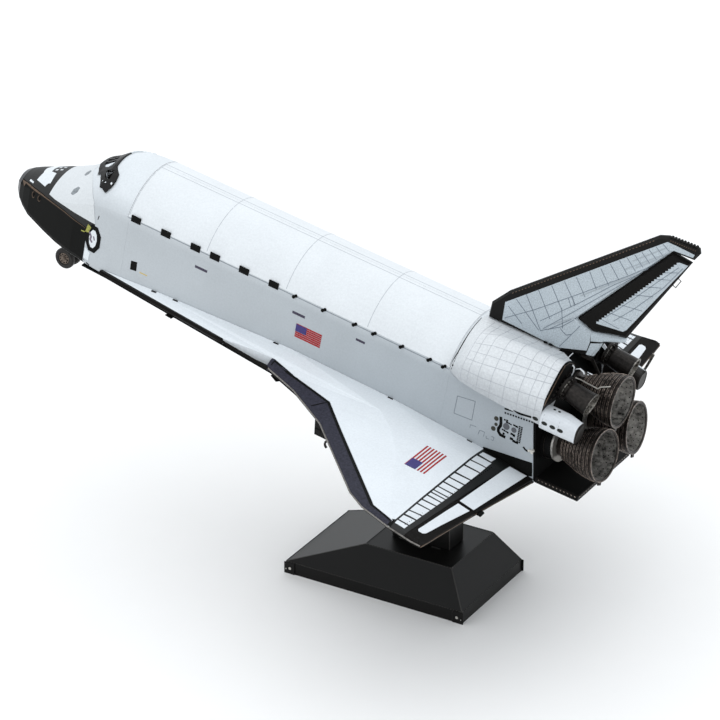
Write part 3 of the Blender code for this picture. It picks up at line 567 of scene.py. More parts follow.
def painted_shade_inside(tree, place, outside, axis_y, axis_z):
    """Painted shade: near-black on the faces of a curved sheet that look in to its own axis."""
    facing = shader_node(tree, "TexCoord").outputs["Normal"]
    out = shader_node(tree, "VectorMath", {"operation": "SUBTRACT"}, {0: place, 1: (0.0, axis_y, axis_z)})
    radial = shader_node(tree, "VectorMath", {"operation": "MULTIPLY"},
                         {0: out.outputs[0], 1: (0.0, 1.0, 1.0)})
    inner = combine(tree, "LESS_THAN", reach_along(tree, facing, radial.outputs[0]), 0.0)
    return overprint(tree, inner, outside, (*INSIDE_SHADE, 1.0))


def shaded_cabin_pattern(tree, place, white):
    """The cabin's sheet, coloured like the hull outside, with painted shade inside."""
    return painted_shade_inside(tree, place, shaded_hull_pattern(tree, place, white), 0.0, CABIN_AXIS_Z)


def windshield_print(tree, place, black):
    """Black, with a white top to the right-hand corner alone."""
    z, x, y = WHITE_CORNER
    corner = combine(tree, "MULTIPLY", beyond(tree, place, (0.0, 0.0, 1.0), z),
                     beyond(tree, place, (1.0, 0.0, 0.0), x), beyond(tree, place, (0.0, 1.0, 0.0), y))
    return overprint(tree, corner, black, (*ROOF_WHITE, 1.0))


# Painted shade: the hull's walls are greyer low down and towards the tail.
shaded_hull_ink = ink("hull_print_painted_shade", SHADED_WALL_TONES[0], 0.5, pattern=shaded_hull_pattern, drift=0.04)
dress(("mid_fuselage", "aft_fuselage"), shaded_hull_ink)
dress(("crew_cabin",), ink("cabin_print_painted_shade", SHADED_WALL_TONES[0], 0.5, pattern=shaded_cabin_pattern, drift=0.04))
dress(("windshield_frame",), ink("windshield_frame_print", (0.007, 0.0065, 0.006), 0.4, speckle=0.2,
                                 specular=0.15, pattern=windshield_print))

WINDSHIELD_LIGHT_TAB = (
    # x, y, z of the white tab that fills part of the second pane: painted light seen through it
    (-64.4, 2.52, 17.4), (-63.38, 3.66, 17.65), (-62.78, 3.6, 18.1), (-62.15, 2.5, 19.0),
    (-61.92, 2.12, 19.2), (-62.4, 2.3, 18.9),
)
CABIN_SHADE_BLOCKS = (
    # middle and size of each block of painted shade behind the cut panes
    ((-63.1, 0.0, 12.9), (3.0, 10.8, 5.2)), ((-58.0, 0.0, 13.4), (7.0, 12.6, 7.0)),
    ((-59.6, 0.0, 14.7), (4.2, 10.0, 5.6)),
)
shade_block_bm = bmesh.new()
for middle, size in CABIN_SHADE_BLOCKS:
    add_block(shade_block_bm, middle, size, bevel=0.3)
# Painted shade: near-black blocks inside the cabin, behind its panes.
cabin_shade_black = ink("cabin_inside_painted_shade", (0.010, 0.0085, 0.008), 0.7, specular=0.08)
orbiter_part("cabin_painted_shade_blocks", shade_block_bm, cabin_shade_black)

HATCH = (-59.8, 5.75)
HATCH_HALF = ((0.98, 2.05), (2.0, 3.15))      # half sizes of the ring's inner and outer octagon
HATCH_CORNER = ((-61.5, 0.7), (-60.2, 0.6), (-60.1, 2.4), (-61.4, 3.1))
HATCH_MARKS = (
    # points and width of each violet smudge on the hatch
    (((-60.9, 6.9), (-60.3, 6.1), (-60.4, 5.4), (-59.9, 4.9)), 0.42), (((-59.7, 6.4), (-59.4, 5.6)), 0.3),
)
OLIVE_PATCH = ((-61.95, 6.4), (-61.5, 8.3), (-60.6, 8.0), (-61.1, 6.6))
PANE_LIGHT_MARKS = (
    # painted light: the small panes at the back of the windshield, printed white where light shows through
    ((-61.3, 17.2), (-60.25, 17.4), (-60.15, 17.58), (-61.2, 17.42)),
    ((-59.1, 17.8), (-58.7, 17.72), (-58.62, 18.0), (-59.02, 18.1)),
)
LOWER_CORNER = ((-61.5, -0.5), (-61.5, 0.35), (-59.85, -0.2), (-59.85, -0.55))
CABIN_NODES = ("crew_cabin", "nose_lower", "nose_upper")


def oval(centre, half, start, end, steps):
    """Points round part of an ellipse."""
    angles = [math.radians(start + (end - start) * i / steps) for i in range(steps + 1)]
    return [(centre[0] + half[0] * math.cos(a), centre[1] + half[1] * math.sin(a)) for a in angles]


for side_name, side in SIDES:
    way = from_side(side)
    printed("hatch_panel_" + side_name, white_ink, CABIN_NODES, way,
            [oval(HATCH, HATCH_HALF[0], 0, 324, 9), HATCH_CORNER], lift=0.08, cell=(0.7, 0.7))
    ring = [oval(HATCH, HATCH_HALF[1], turn, turn + 90, 2) + oval(HATCH, HATCH_HALF[0], turn + 90, turn, 2)
            for turn in (-157.5, -67.5, 22.5, 112.5)]
    printed("hatch_ring_" + side_name, black_ink, CABIN_NODES, way, ring, lift=0.06,
            cell=(0.6, 0.6))
    # Painted light showing through the small back panes.
    printed("windshield_painted_light_" + side_name, white_ink, ("windshield_frame", "crew_cabin"),
            way, PANE_LIGHT_MARKS, lift=0.04)
    # Painted light: a white tab in the second pane.
    tab = cut_plate([(x, side * y, z) for x, y, z in WINDSHIELD_LIGHT_TAB], (0, 0, -0.2))
    orbiter_part("windshield_light_tab_" + side_name, tab, white_ink)
    printed("hatch_marks_" + side_name, violet_ink, CABIN_NODES, way,
            [stroke(line, width) for line, width in HATCH_MARKS], lift=0.1)
    printed("hatch_olive_patch_" + side_name, hatch_olive, CABIN_NODES, way,
            [OLIVE_PATCH, stroke([(-63.0, 6.1), (-62.1, 6.25)], 0.22)], lift=0.09, cell=(0.6, 0.0))
    printed("cabin_lower_corner_" + side_name, black_ink, ("crew_cabin",), way,
            [LOWER_CORNER], lift=0.05)
    printed("cabin_tab_slot_" + side_name, black_ink, ("crew_cabin",), way,
            [stroke([(-59.35, 10.4), (-59.15, 11.3)], 0.16)], lift=0.04)


# The middle is one long folded trough with two curved doors over it. The doors' four panels and
# their hinge line are printed in fine grey. Six black hinge plates show forward and seven small
# hinge lugs aft. The side walls carry printed vents, an access mark and a plain striped flag.

DOOR_LINES_X = (-52.35, -34.3, -16.05, 2.2, 20.3)
DOOR_LINE_WIDTH = 0.12
DOOR_ENDS_X = (-52.4, 20.4)
DOOR_DEGREES = (("right", 21.0, 89.8, 85.6), ("left", 90.2, 159.0, 94.4))     # edge, edge, crest line
JOINT_COVER = 0.6           # width of the printed strip over the joints between the side walls
JOINT_COVER_X = (-52.57, 20.47)
JOINT_COVER_Z = (-0.3, 14.1)
ROOF_AXIS_Z = 10.7
HINGE_Z = 14.3
HINGE_PLATES_X = (-50.68, -43.71, -36.8, -32.3, -25.58, -18.78)
HINGE_PLATE = (1.1, 0.7)          # half sizes
HINGE_LUGS_X = (-13.91, -7.36, -0.46, 3.86, 9.99, 16.08, 19.26)
LUG_HEADS = (
    # x and height from the lug's place, inner and outer face, and radius of its two round heads
    (-0.2, -0.45, 10.25, 10.62, 0.34), (0.24, -0.1, 10.2, 10.55, 0.33),
)
ACCESS_MARK = ((-50.3, 3.3), (-48.85, 3.5), (-48.95, 5.5), (-50.35, 5.25))
VENTS = (
    # x, z, half length, half height
    (-34.8, 10.5, 1.4, 0.27), (-12.4, 10.6, 1.4, 0.27), (1.4, 11.15, 1.0, 0.24),
)

door_white = ink("bay_door_white_print", (0.69, 0.718, 0.738), 0.46)
door_line_ink = ink("door_line_print", (0.44, 0.465, 0.49), 0.5)
vent_ink = ink("vent_violet_print", (0.05, 0.043, 0.07), 0.5, speckle=0.2)
gold_ink = ink("gold_dash_print", (0.56, 0.42, 0.12), 0.5)
dress(("bay_door_left", "bay_door_right"), door_white)

over_roof = wrapped(0.0, ROOF_AXIS_Z)
for side_name, low, high, crest in DOOR_DEGREES:
    lines = [oblong(x - DOOR_LINE_WIDTH / 2, x + DOOR_LINE_WIDTH / 2, low, high) for x in DOOR_LINES_X]
    lines.append(stroke([(DOOR_ENDS_X[0] + 0.1, crest), (DOOR_ENDS_X[1], crest)], 0.7))
    printed("bay_door_panel_lines_" + side_name, door_line_ink, ("bay_door_" + side_name,),
            over_roof, lines, lift=0.02, cell=(0.0, 4.0))

for side_name, side in SIDES:
    way = from_side(side)
    walls = ("crew_cabin", "mid_fuselage", "bay_door_" + side_name, "aft_fuselage")
    covers = [oblong(x - JOINT_COVER / 2, x + JOINT_COVER / 2, *JOINT_COVER_Z) for x in JOINT_COVER_X]
    printed("side_joint_covers_" + side_name, shaded_hull_ink, walls, way, covers, lift=0.02)
    printed("hinge_line_" + side_name, grey_ink, walls, way,
            [stroke([(DOOR_ENDS_X[0], HINGE_Z - 0.15), (DOOR_ENDS_X[1], HINGE_Z - 0.35)], 0.14)], lift=0.04)
    plates, lugs = bmesh.new(), bmesh.new()
    for x in HINGE_PLATES_X:
        add_block(plates, (x, side * 10.4, HINGE_Z + 0.05), (2 * HINGE_PLATE[0], 0.24, 2 * HINGE_PLATE[1]),
                  bevel=0.05)
    for x in HINGE_LUGS_X:
        for along, up, inner, outer, radius in LUG_HEADS:
            add_rod(lugs, (x + along, side * inner, HINGE_Z + up), (x + along, side * outer, HINGE_Z + up),
                    radius)
    orbiter_part("hinge_plates_" + side_name, plates, black_ink)
    orbiter_part("hinge_lugs_" + side_name, lugs, black_ink, smooth=True)
    printed("side_vents_" + side_name, vent_ink, walls, way,
            [oblong(x - w, x + w, z - h, z + h) for x, z, w, h in VENTS])
    printed("side_access_mark_" + side_name, black_ink, walls, way, [ACCESS_MARK])
    printed("side_gold_dash_" + side_name, gold_ink, walls, way,
            [stroke([(-48.1, 3.62), (-46.3, 3.62)], 0.2)])


# The flags are plain stripes with a blue field, printed on the side wall and on the wing. Each is
# laid on the sheet as two thin prints, the field a little higher than the stripes.

flag_red = ink("flag_red_print", (0.33, 0.014, 0.016), 0.5, speckle=0.12)
flag_blue = ink("flag_blue_print", (0.045, 0.034, 0.16), 0.5, speckle=0.12)
FLAG_STRIPES = 13
FLAG_CELL = (0.9, 0.9)
SIDE_FLAG = ((-12.45, 5.7), (-6.7, 8.5))
SIDE_FIELDS = {"left": ((-12.47, 7.0), (-10.1, 8.52)), "right": ((-9.05, 7.0), (-6.68, 8.52))}
SIDE_STRIPE = 1.6           # the side flag's stripes, in shares of an even stripe


def print_flag(name, nodes, ray, low, high, field, stripes_along, bold=1.0, lift=PRINT_LIFT):
    """Seven red stripes between two corners, and a blue field between two more."""
    across = 1 - stripes_along
    step = (high[across] - low[across]) / FLAG_STRIPES
    stripes = []
    for i in range(0, FLAG_STRIPES, 2):
        edge = low[across] + i * step
        stripe = oblong(low[stripes_along], high[stripes_along], edge, edge + step * bold)
        stripes.append([point if stripes_along == 0 else point[::-1] for point in stripe])
    printed(name + "_stripes", flag_red, nodes, ray, stripes, lift, FLAG_CELL)
    (ax, ay), (bx, by) = field
    printed(name + "_field", flag_blue, nodes, ray, [oblong(ax, bx, ay, by)], lift + 0.04,
            FLAG_CELL)


for side_name, side in SIDES:
    print_flag("side_flag_" + side_name, ("mid_fuselage",), from_side(side), *SIDE_FLAG,
               SIDE_FIELDS[side_name], 0, SIDE_STRIPE)


# The aft fuselage is a short white box between the doors and the engines. Its walls carry the
# printed ground-service panel: a curved black duct with brown and grey ports and rows of dashes,
# thin square access outlines, and a black wedge where the wing's trailing edge meets the body.

brown_ink = ink("brown_port_print", (0.038, 0.036, 0.026), 0.5)
pale_twist = ink("pale_twist_steel", (0.62, 0.6, 0.55), 0.4, metallic=0.2, speckle=0.5)
port_grey = ink("grey_port_print", (0.10, 0.104, 0.115), 0.5)
bulkhead_black = ink("bulkhead_black_print", (0.004, 0.004, 0.004), 0.5, speckle=0.15, specular=0.06)
dress(("aft_bulkhead", "pod_end_plate_left", "pod_end_plate_right"), bulkhead_black)

AFT_LINE = 0.13
ACCESS_SQUARE = ((23.25, 9.35), (27.0, 9.95), (27.15, 5.8), (23.3, 5.5))
SERVICE_DUCT = (
    (32.7, 9.3), (32.95, 8.3), (33.05, 7.5), (32.75, 6.7), (32.85, 6.1), (33.4, 5.6), (34.5, 5.55),
)
BROWN_PORTS = ((31.9, 8.5, 0.48), (32.1, 7.3, 0.36), (31.75, 6.2, 0.5))
GREY_PORTS = ((34.2, 7.85, 0.7), (35.85, 7.85, 0.56))
SERVICE_BLOCKS = (
    # x, z, half length, half height of the black dashes round the service ports
    (33.6, 9.05, 0.14, 0.12), (34.1, 8.95, 0.14, 0.28), (34.55, 8.75, 0.2, 0.1), (35.0, 8.7, 0.14, 0.1),
    (35.75, 8.85, 0.22, 0.12), (36.25, 8.8, 0.2, 0.14), (33.6, 6.9, 0.12, 0.12), (34.0, 6.85, 0.14, 0.14),
    (34.4, 6.8, 0.14, 0.1), (34.75, 6.75, 0.12, 0.14), (34.0, 6.15, 0.16, 0.16), (35.6, 6.85, 0.2, 0.16),
    (36.1, 6.75, 0.18, 0.2), (35.75, 5.85, 0.26, 0.2), (36.3, 5.6, 0.2, 0.2), (36.85, 5.55, 0.3, 0.16),
)
SERVICE_SCALE = 1.3
SERVICE_GRILLE = tuple((37.05 + 0.02 * row, 9.1 - 0.36 * row) for row in range(10))
GRILLE_SLOTS = ((-0.4, -0.05), (0.05, 0.42))      # each row's two slots, from its middle
GRILLE_HALF = 0.13
DASH_ROW = tuple((33.4 + 0.56 * i, 10.5 + 0.07 * i) for i in range(11))
DASH_HALF = 0.17
WALL_WEDGE = ((30.6, 1.5), (40.9, 2.95), (41.35, 1.0), (41.5, 0.2), (40.0, -0.35), (30.6, 1.0))
TWIST_PINS = (
    # x, z, outer face and radius of the two round heads of the wall's twisted tab
    (39.75, 5.2, 10.6, 0.26), (40.45, 5.5, 10.9, 0.34),
)
SMALL_OUTLINES = (
    ((27.1, 4.1), (27.1, 4.75), (28.3, 4.9)),
    ((29.0, 3.5), (29.15, 4.5), (30.2, 4.6), (30.15, 3.6)),
    ((30.7, 4.0), (30.75, 3.5), (31.4, 3.6)),
    ((31.7, 4.4), (32.3, 4.4), (32.25, 3.7), (31.75, 3.7)),
)

for side_name, side in SIDES:
    way = from_side(side)
    walls = ("aft_fuselage",)
    outlines = [stroke([ACCESS_SQUARE[i - 1], ACCESS_SQUARE[i]], AFT_LINE) for i in (1, 2, 3, 0)]
    for line in SMALL_OUTLINES:
        outlines += [stroke([line[i], line[i + 1]], 0.11) for i in range(len(line) - 1)]
    printed("aft_access_outlines_" + side_name, grey_ink, walls, way, outlines)
    sized = [(x, z, w * SERVICE_SCALE, h * SERVICE_SCALE) for x, z, w, h in SERVICE_BLOCKS]
    blocks = [oblong(x - w, x + w, z - h, z + h) for x, z, w, h in sized]
    blocks += [oblong(x + low, x + high, z - GRILLE_HALF, z + GRILLE_HALF)
               for low, high in GRILLE_SLOTS for x, z in SERVICE_GRILLE]
    blocks += [oblong(x - DASH_HALF, x + DASH_HALF, z - DASH_HALF, z + DASH_HALF) for x, z in DASH_ROW]
    printed("service_panel_dashes_" + side_name, black_ink, walls, way, blocks)
    printed("service_panel_bar_" + side_name, black_ink, walls, way,
            [stroke([(33.05, 11.3), (34.9, 11.62)], 0.34)])
    printed("pod_edge_bar_" + side_name, black_ink, ("oms_pod_" + side_name,), way,
            [stroke([(36.4, 14.25), (38.2, 14.4), (40.2, 14.8)], 0.4)], lift=0.06, cell=(0.6, 0.0))
    printed("service_panel_duct_" + side_name, black_ink, walls, way,
            [stroke(SERVICE_DUCT, 0.6)])
    printed("service_panel_brown_ports_" + side_name, brown_ink, walls, way,
            [round_dot(*port) for port in BROWN_PORTS])
    printed("service_panel_grey_ports_" + side_name, port_grey, walls, way,
            [round_dot(*port) for port in GREY_PORTS])
    printed("aft_wall_black_wedge_" + side_name, black_ink, walls, way, [WALL_WEDGE],
            lift=0.04)
    bolt = bmesh.new()
    for x, z, outer, radius in TWIST_PINS:
        add_rod(bolt, (x, side * 10.2, z), (x, side * outer, z), radius)
    add_block(bolt, (40.4, side * 10.6, 5.05), (0.55, 0.3, 0.35), bevel=0.08)
    orbiter_part("aft_wall_tab_twist_" + side_name, bolt, pale_twist, smooth=True)
    printed("aft_wall_tab_mark_" + side_name, black_ink, walls, way,
            [stroke([(38.4, 5.35), (38.9, 5.0), (39.5, 4.85)], 0.36)])


# Each wing is a white folded box on a black underside. Along its front runs a slate strip with a
# black inner border; along its back a ladder of white panes in black, the black hinge band, and
# two elevons with white centres. All the cut edges show a thin bronze line of bare steel.

PANE_FRONT = ((10.0, 31.2), (46.0, 31.75))
LADDER_PANES = (
    # front root y, front tip y, aft root y, aft tip y of each white pane
    (14.05, 16.24, 13.7, 15.89), (16.71, 18.59, 16.3, 18.40), (19.19, 22.20, 18.85, 21.92),
    (22.85, 24.55, 22.4, 24.25), (25.02, 26.74, 24.75, 26.54), (27.25, 28.90, 27.0, 28.65),
    (29.30, 30.55, 29.1, 30.30), (30.95, 31.55, 30.75, 31.35), (32.0, 32.90, 31.75, 32.81),
    (33.42, 34.89, 33.2, 34.56), (35.39, 36.77, 35.0, 36.62), (37.26, 39.79, 37.0, 39.36),
    (40.2, 41.50, 39.8, 41.40), (42.11, 43.84, 41.9, 43.98), (44.3, 45.3, 44.4, 45.6),
)
PANE_AFT = ((10.0, 34.15), (18.0, 34.5), (30.0, 34.5), (46.0, 33.9))
ROOT_PANE = (31.35, 34.0, 11.3, 13.2)
ELEVON_HINGE = ((10.4, 36.9), (44.0, 35.0), (50.0, 34.66))
INBOARD_PANEL = ((37.0, 11.1), (40.6, 10.75), (39.4, 29.3), (36.4, 29.45))
OUTBOARD_PANEL = ((36.6, 30.4), (39.05, 30.25), (37.35, 43.6), (36.95, 44.15), (36.1, 44.2), (35.75, 43.7))

WING_BLACK = (
    # x and sideways parts of each edge's direction, and how far out it lies
    (1.0, -0.0157, 30.6), (-0.1198, 0.9928, 17.1),
)
GLOVE_AFT_X = -13.75


def wing_print(tree, place, white):
    """White, with a black hinge band along the back and a black border on the glove's outer edge."""
    sideways = shader_node(tree, "VectorMath", {"operation": "ABSOLUTE"}, {0: place}).outputs[0]
    masks = []
    for along, out, reach in WING_BLACK:
        total = combine(tree, "ADD", reach_along(tree, place, (along, 0.0, 0.0)),
                        reach_along(tree, sideways, (0.0, out, 0.0)))
        masks.append(combine(tree, "GREATER_THAN", total, reach))
    band, border = masks
    glove = combine(tree, "MULTIPLY", border, beyond(tree, place, (-1.0, 0.0, 0.0), -GLOVE_AFT_X))
    return overprint(tree, combine(tree, "MAXIMUM", band, glove), white, (*BLACK, 1.0))


wing_white = ink("wing_white_print", (0.68, 0.715, 0.745), 0.46)
wing_top = ink("wing_top_print", (0.70, 0.738, 0.768), 0.46, pattern=wing_print)
slate_ink = ink("slate_strip_print", (0.026, 0.026, 0.039), 0.5, speckle=0.45, fineness=2.2, drift=0.06,
                specular=0.12)
band_black = ink("hinge_band_black_print", (0.006, 0.0052, 0.0045), 0.5, speckle=0.2, drift=0.12,
                 specular=0.06)
strip_edge_grey = ink("strip_edge_steel", (0.17, 0.16, 0.15), 0.34, metallic=0.7, speckle=0.5, drift=0.2)
dress(("wing_left", "wing_right"), wing_top)
dress(("leading_edge_left", "leading_edge_right"), slate_ink)
dress(("elevon_inboard_left", "elevon_inboard_right", "elevon_outboard_left", "elevon_outboard_right"),
      band_black)


def along_table(table, y):
    """Read a table of (y, x) at some y."""
    for (y0, x0), (y1, x1) in zip(table, table[1:]):
        if y <= y1:
            return x0 + (x1 - x0) * (y - y0) / (y1 - y0)
    return table[-1][1]


def on_side(outline, side):
    return [(x, side * y) for x, y in outline]


BORDER_INNER = ((-13.45, 14.35), (1.75, 19.08), (25.75, 43.0), (30.75, 45.0))
BORDER_OUTER = ((-13.45, 14.75), (1.45, 19.5), (25.3, 43.35), (30.6, 45.3))
TIP_CORNER = ((30.75, 44.7), (31.45, 44.4), (31.6, 46.7), (30.9, 46.9))
HINGE_SLOTS_Y = tuple(15.0 + 0.72 * i for i in range(43))
NICKS_X = (-44.6, -39.6, -16.4, 9.5, 27.2)
WING_FLAG = ((23.3, 19.3), (27.65, 27.8))
WING_FIELD = ((23.45, 24.9), (25.65, 27.8))

for side_name, side in SIDES:
    top = ("wing_" + side_name,)
    panes = []
    for front_root, front_tip, aft_root, aft_tip in LADDER_PANES:
        front = [(along_table(PANE_FRONT, y), y) for y in (front_root, front_tip)]
        panes.append(front + [(along_table(PANE_AFT, y), y) for y in (aft_tip, aft_root)])
    x0, x1, y0, y1 = ROOT_PANE
    panes.append([(x0, y0 + 0.45), (x0, y1), (x1, y1), (x1, y0)])
    printed("wing_ladder_panes_" + side_name, wing_white, top, from_above,
            [on_side(pane, side) for pane in panes], lift=0.05, cell=(0.8, 0.8))
    printed("wing_hinge_slots_" + side_name, stand_dot, top, from_above,
            [round_dot(along_table(ELEVON_HINGE, y) - 1.55, side * y, 0.11, sides=6) for y in HINGE_SLOTS_Y],
            lift=0.05)
    for part, panel in (("inboard", INBOARD_PANEL), ("outboard", OUTBOARD_PANEL)):
        printed("elevon_panel_" + part + "_" + side_name, wing_white,
                ("elevon_" + part + "_" + side_name,), from_above, [on_side(panel, side)], lift=0.05,
                cell=(0.9, 0.9))
    strip = ("leading_edge_" + side_name,)
    border = [on_side(BORDER_INNER[i:i + 2] + BORDER_OUTER[i:i + 2][::-1], side) for i in range(3)]
    printed("leading_edge_border_" + side_name, black_ink, strip, from_above, border,
            cell=(1.0, 0.0))
    printed("leading_edge_joints_" + side_name, black_ink, strip, from_above,
            [on_side(stroke([(-13.4, 14.5), (-13.55, 15.5)], 0.26), side),
             on_side(stroke([(1.6, 19.3), (-0.5, 22.0)], 0.22), side)], lift=0.05, cell=(0.5, 0.5))
    printed("wing_tip_corner_" + side_name, black_ink, top + strip, from_above,
            [on_side(TIP_CORNER, side)], lift=0.05, cell=(0.4, 0.4))
    print_flag("wing_flag_" + side_name, top, from_above, *on_side(WING_FLAG, side),
               on_side(WING_FIELD, side), 1)
    printed("wing_tab_nicks_" + side_name, black_ink, top, from_above,
            [on_side(stroke([(x, 10.75), (x + 1.1, 10.75)], 0.3), side) for x in NICKS_X], lift=0.09)

WING_EDGE = (
    # x, y, z along the wing's rolled front edge and tip, from the body to the trailing edge
    (-56.9, 10.62, -0.35), (-35.5, 13.2, 0.1), (-13.95, 15.9, 0.2), (-6.15, 19.2, 0.45),
    (3.75, 25.6, 0.8), (20.4, 42.1, 1.72), (24.4, 44.6, 1.86), (31.1, 46.6, 1.95),
    (36.4, 47.6, 2.0), (38.5, 47.65, 2.0),
)


def add_tube(bm, points, radius, sides=6, squash=1.0):
    """A wire or rolled edge: equal rings set square to the path and bridged."""
    points = [Vector(point) for point in points]
    before = None
    for i, point in enumerate(points):
        way = (points[min(i + 1, len(points) - 1)] - points[max(i - 1, 0)]).normalized()
        turn = way.to_track_quat("Z", "Y").to_matrix().to_4x4()
        place = Matrix.Translation(point) @ turn @ Matrix.Diagonal((radius, radius * squash, 1.0, 1.0))
        caps = i in (0, len(points) - 1)
        made = bmesh.ops.create_circle(bm, cap_ends=caps, segments=sides, radius=1.0, matrix=place)
        ring = list({edge for vert in made["verts"] for edge in vert.link_edges
                     if all(end in made["verts"] for end in edge.verts)})
        if before is not None:
            bmesh.ops.bridge_loops(bm, edges=before + ring)
        before = ring


TRAILING_EDGES = (
    # the inboard and the outboard elevon's cut edge, each from end to end
    ((41.95, 10.9, -0.78), (39.95, 29.8, 0.52)), ((39.9, 30.1, 0.55), (38.6, 47.5, 1.8)),
)
EDGE_TABS = (
    # x, y, z, length and degrees of turn of each black tab folded under the wing's edge
    (-38.7, 12.6, -1.1, 1.6, 7), (-11.9, 16.1, -1.0, 2.2, 30),
)

for side_name, side in SIDES:
    glove, strip, trailing = bmesh.new(), bmesh.new(), bmesh.new()
    wing_edge = [(x, side * y, z) for x, y, z in WING_EDGE]
    add_tube(glove, wing_edge[:3], 0.28)
    orbiter_part("glove_edge_" + side_name, glove, band_black, smooth=True)
    add_tube(strip, wing_edge[2:], 0.16)
    orbiter_part("strip_edge_" + side_name, strip, strip_edge_grey, smooth=True)
    for edge in TRAILING_EDGES:
        add_tube(trailing, [(x, side * y, z) for x, y, z in edge], 0.13)
    orbiter_part("trailing_cut_edge_" + side_name, trailing, bronze_edge, smooth=True)
    tabs, knob = bmesh.new(), bmesh.new()
    for x, y, z, length, turn_by in EDGE_TABS:
        turn = Matrix.Rotation(math.radians(side * turn_by), 4, "Z")
        add_block(tabs, (x, side * y, z), (length, 0.9, 0.28), turn, bevel=0.06)
    orbiter_part("wing_edge_tabs_" + side_name, tabs, black_ink)
    add_block(knob, (39.9, side * 28.3, 0.35), (1.5, 1.6, 0.45), Matrix.Rotation(side * 0.15, 4, "Z"), 0.1)
    add_rod(knob, (40.7, side * 27.8, 0.35), (40.7, side * 29.0, 0.3), 0.28)
    orbiter_part("elevon_tab_twist_" + side_name, knob, black_ink, smooth=True)


# The fin and its rudder are flat folded plates printed in pale blue-grey with fine tile lines and
# wide black borders. The front edge and the cap are folded over by a row of small tabs, and the
# hinge band between fin and rudder has a toothed edge.

TAIL_BLUE = (0.43, 0.48, 0.515)
tail_blue = ink("tail_blue_print", TAIL_BLUE, 0.48, speckle=0.26, drift=0.06, fineness=4.0)
tile_line = ink("tail_tile_line_print", (0.17, 0.20, 0.235), 0.5)
tile_line_faint = ink("tail_faint_line_print", (0.34, 0.38, 0.41), 0.5)
tail_black = ink("tail_black_print", (0.0055, 0.005, 0.0045), 0.45, speckle=0.25, drift=0.12, specular=0.08)

FIN_PANELS = (
    # x, z clockwise round each pale part of the fin: blade, cap's tail, root, spike and foot
    ((24.4, 26.4), (52.5, 52.3), (54.8, 52.25), (38.9, 29.4)),
    ((54.0, 52.3), (58.1, 52.1), (57.9, 51.4), (54.0, 51.15)),
    ((24.6, 22.6), (24.4, 26.5), (38.9, 29.6), (42.3, 28.25), (42.6, 26.1), (42.35, 24.2), (36.6, 22.15)),
    ((42.27, 28.25), (49.4, 30.0), (49.3, 28.9), (42.7, 26.4)),
    ((42.4, 23.4), (42.8, 26.0), (45.0, 27.0), (44.9, 26.4), (43.8, 23.4)),
)


def fin_print(tree, place, black):
    """Pale panels on a black sheet, each bounded by straight lines."""
    pale = None
    for panel in FIN_PANELS:
        inside = None
        for i, end in enumerate(panel):
            start = panel[i - 1]
            normal = Vector((end[1] - start[1], start[0] - end[0])).normalized()
            reach = normal.x * start[0] + normal.y * start[1]
            mask = beyond(tree, place, (normal.x, 0.0, normal.y), reach)
            inside = mask if inside is None else combine(tree, "MINIMUM", inside, mask)
        pale = inside if pale is None else combine(tree, "MAXIMUM", pale, inside)
    return overprint(tree, pale, black, (*TAIL_BLUE, 1.0))


fin_sheet = ink("fin_print", (0.0055, 0.005, 0.0045), 0.48, specular=0.14, speckle=0.26, drift=0.06,
                fineness=4.0, pattern=fin_print)
dress(("fin",), fin_sheet)
dress(("rudder",), tail_black)

FIN_FACE_Y = 0.75
FIN_RUNGS = (
    # front x, z and aft x, z of each printed tile line across the fin
    (26.45, 28.0, 32.2, 23.86), (28.2, 29.85, 32.6, 23.9), (30.3, 31.9, 33.9, 27.1),
    (32.7, 33.9, 35.75, 30.0),
    (34.9, 35.9, 38.1, 32.2), (37.0, 37.75, 39.6, 34.6), (39.3, 40.0, 41.4, 37.1), (41.3, 41.5, 43.6, 38.9),
    (42.9, 43.2, 45.2, 40.9), (44.4, 44.7, 46.6, 42.6), (45.7, 45.9, 47.9, 44.0), (47.0, 47.1, 49.1, 45.4),
    (48.2, 48.2, 50.2, 46.7), (49.4, 49.3, 51.3, 48.0), (50.6, 50.4, 52.3, 49.3), (51.8, 51.5, 53.3, 50.6),
    (25.2, 25.9, 28.6, 23.6), (35.6, 30.4, 36.75, 26.4), (36.4, 33.0, 37.4, 31.4), (37.2, 33.5, 38.0, 31.9),
)
FIN_LONG_LINES = (
    ((25.0, 23.2), (30.5, 27.6), (38.9, 35.2), (46.9, 42.6), (53.2, 48.9)),
    ((32.1, 25.9), (39.1, 33.3), (44.4, 39.4), (52.6, 47.6)),
    ((33.0, 24.6), (38.6, 31.3), (45.4, 39.6), (53.4, 49.6)),
    ((32.6, 24.0), (36.4, 26.6), (39.0, 29.7)),
    ((36.9, 22.5), (40.2, 28.9)), ((34.0, 24.9), (38.0, 29.0)), ((36.3, 26.2), (37.7, 25.4), (38.6, 26.0)),
)
FIN_FAINT = (
    ((46.9, 45.7), (52.4, 50.9)), ((45.8, 43.4), (52.9, 50.0)), ((47.8, 44.6), (53.2, 49.9)),
    ((38.7, 34.4), (50.6, 45.9)), ((33.4, 25.3), (40.0, 30.9)),
)
RUDDER_PANEL_AFT = ((55.7, 49.4), (57.4, 49.5), (49.0, 31.9), (48.4, 31.2), (43.0, 30.45))
RUDDER_LINES = (
    ((46.1, 32.4), (49.4, 36.6), (54.0, 43.4), (56.6, 48.6)),
    ((44.3, 32.3), (48.2, 37.6), (52.8, 44.2), (55.8, 48.4)),
    ((46.9, 36.3), (51.0, 36.9)), ((48.9, 39.4), (52.4, 40.6)), ((50.5, 41.9), (53.5, 43.0)),
    ((52.0, 44.2), (54.8, 45.3)), ((53.4, 46.2), (56.0, 47.4)), ((45.2, 33.7), (49.6, 34.1)),
    ((43.9, 31.7), (47.6, 31.4)),
)
TOOTH = 0.3
TEETH = 30
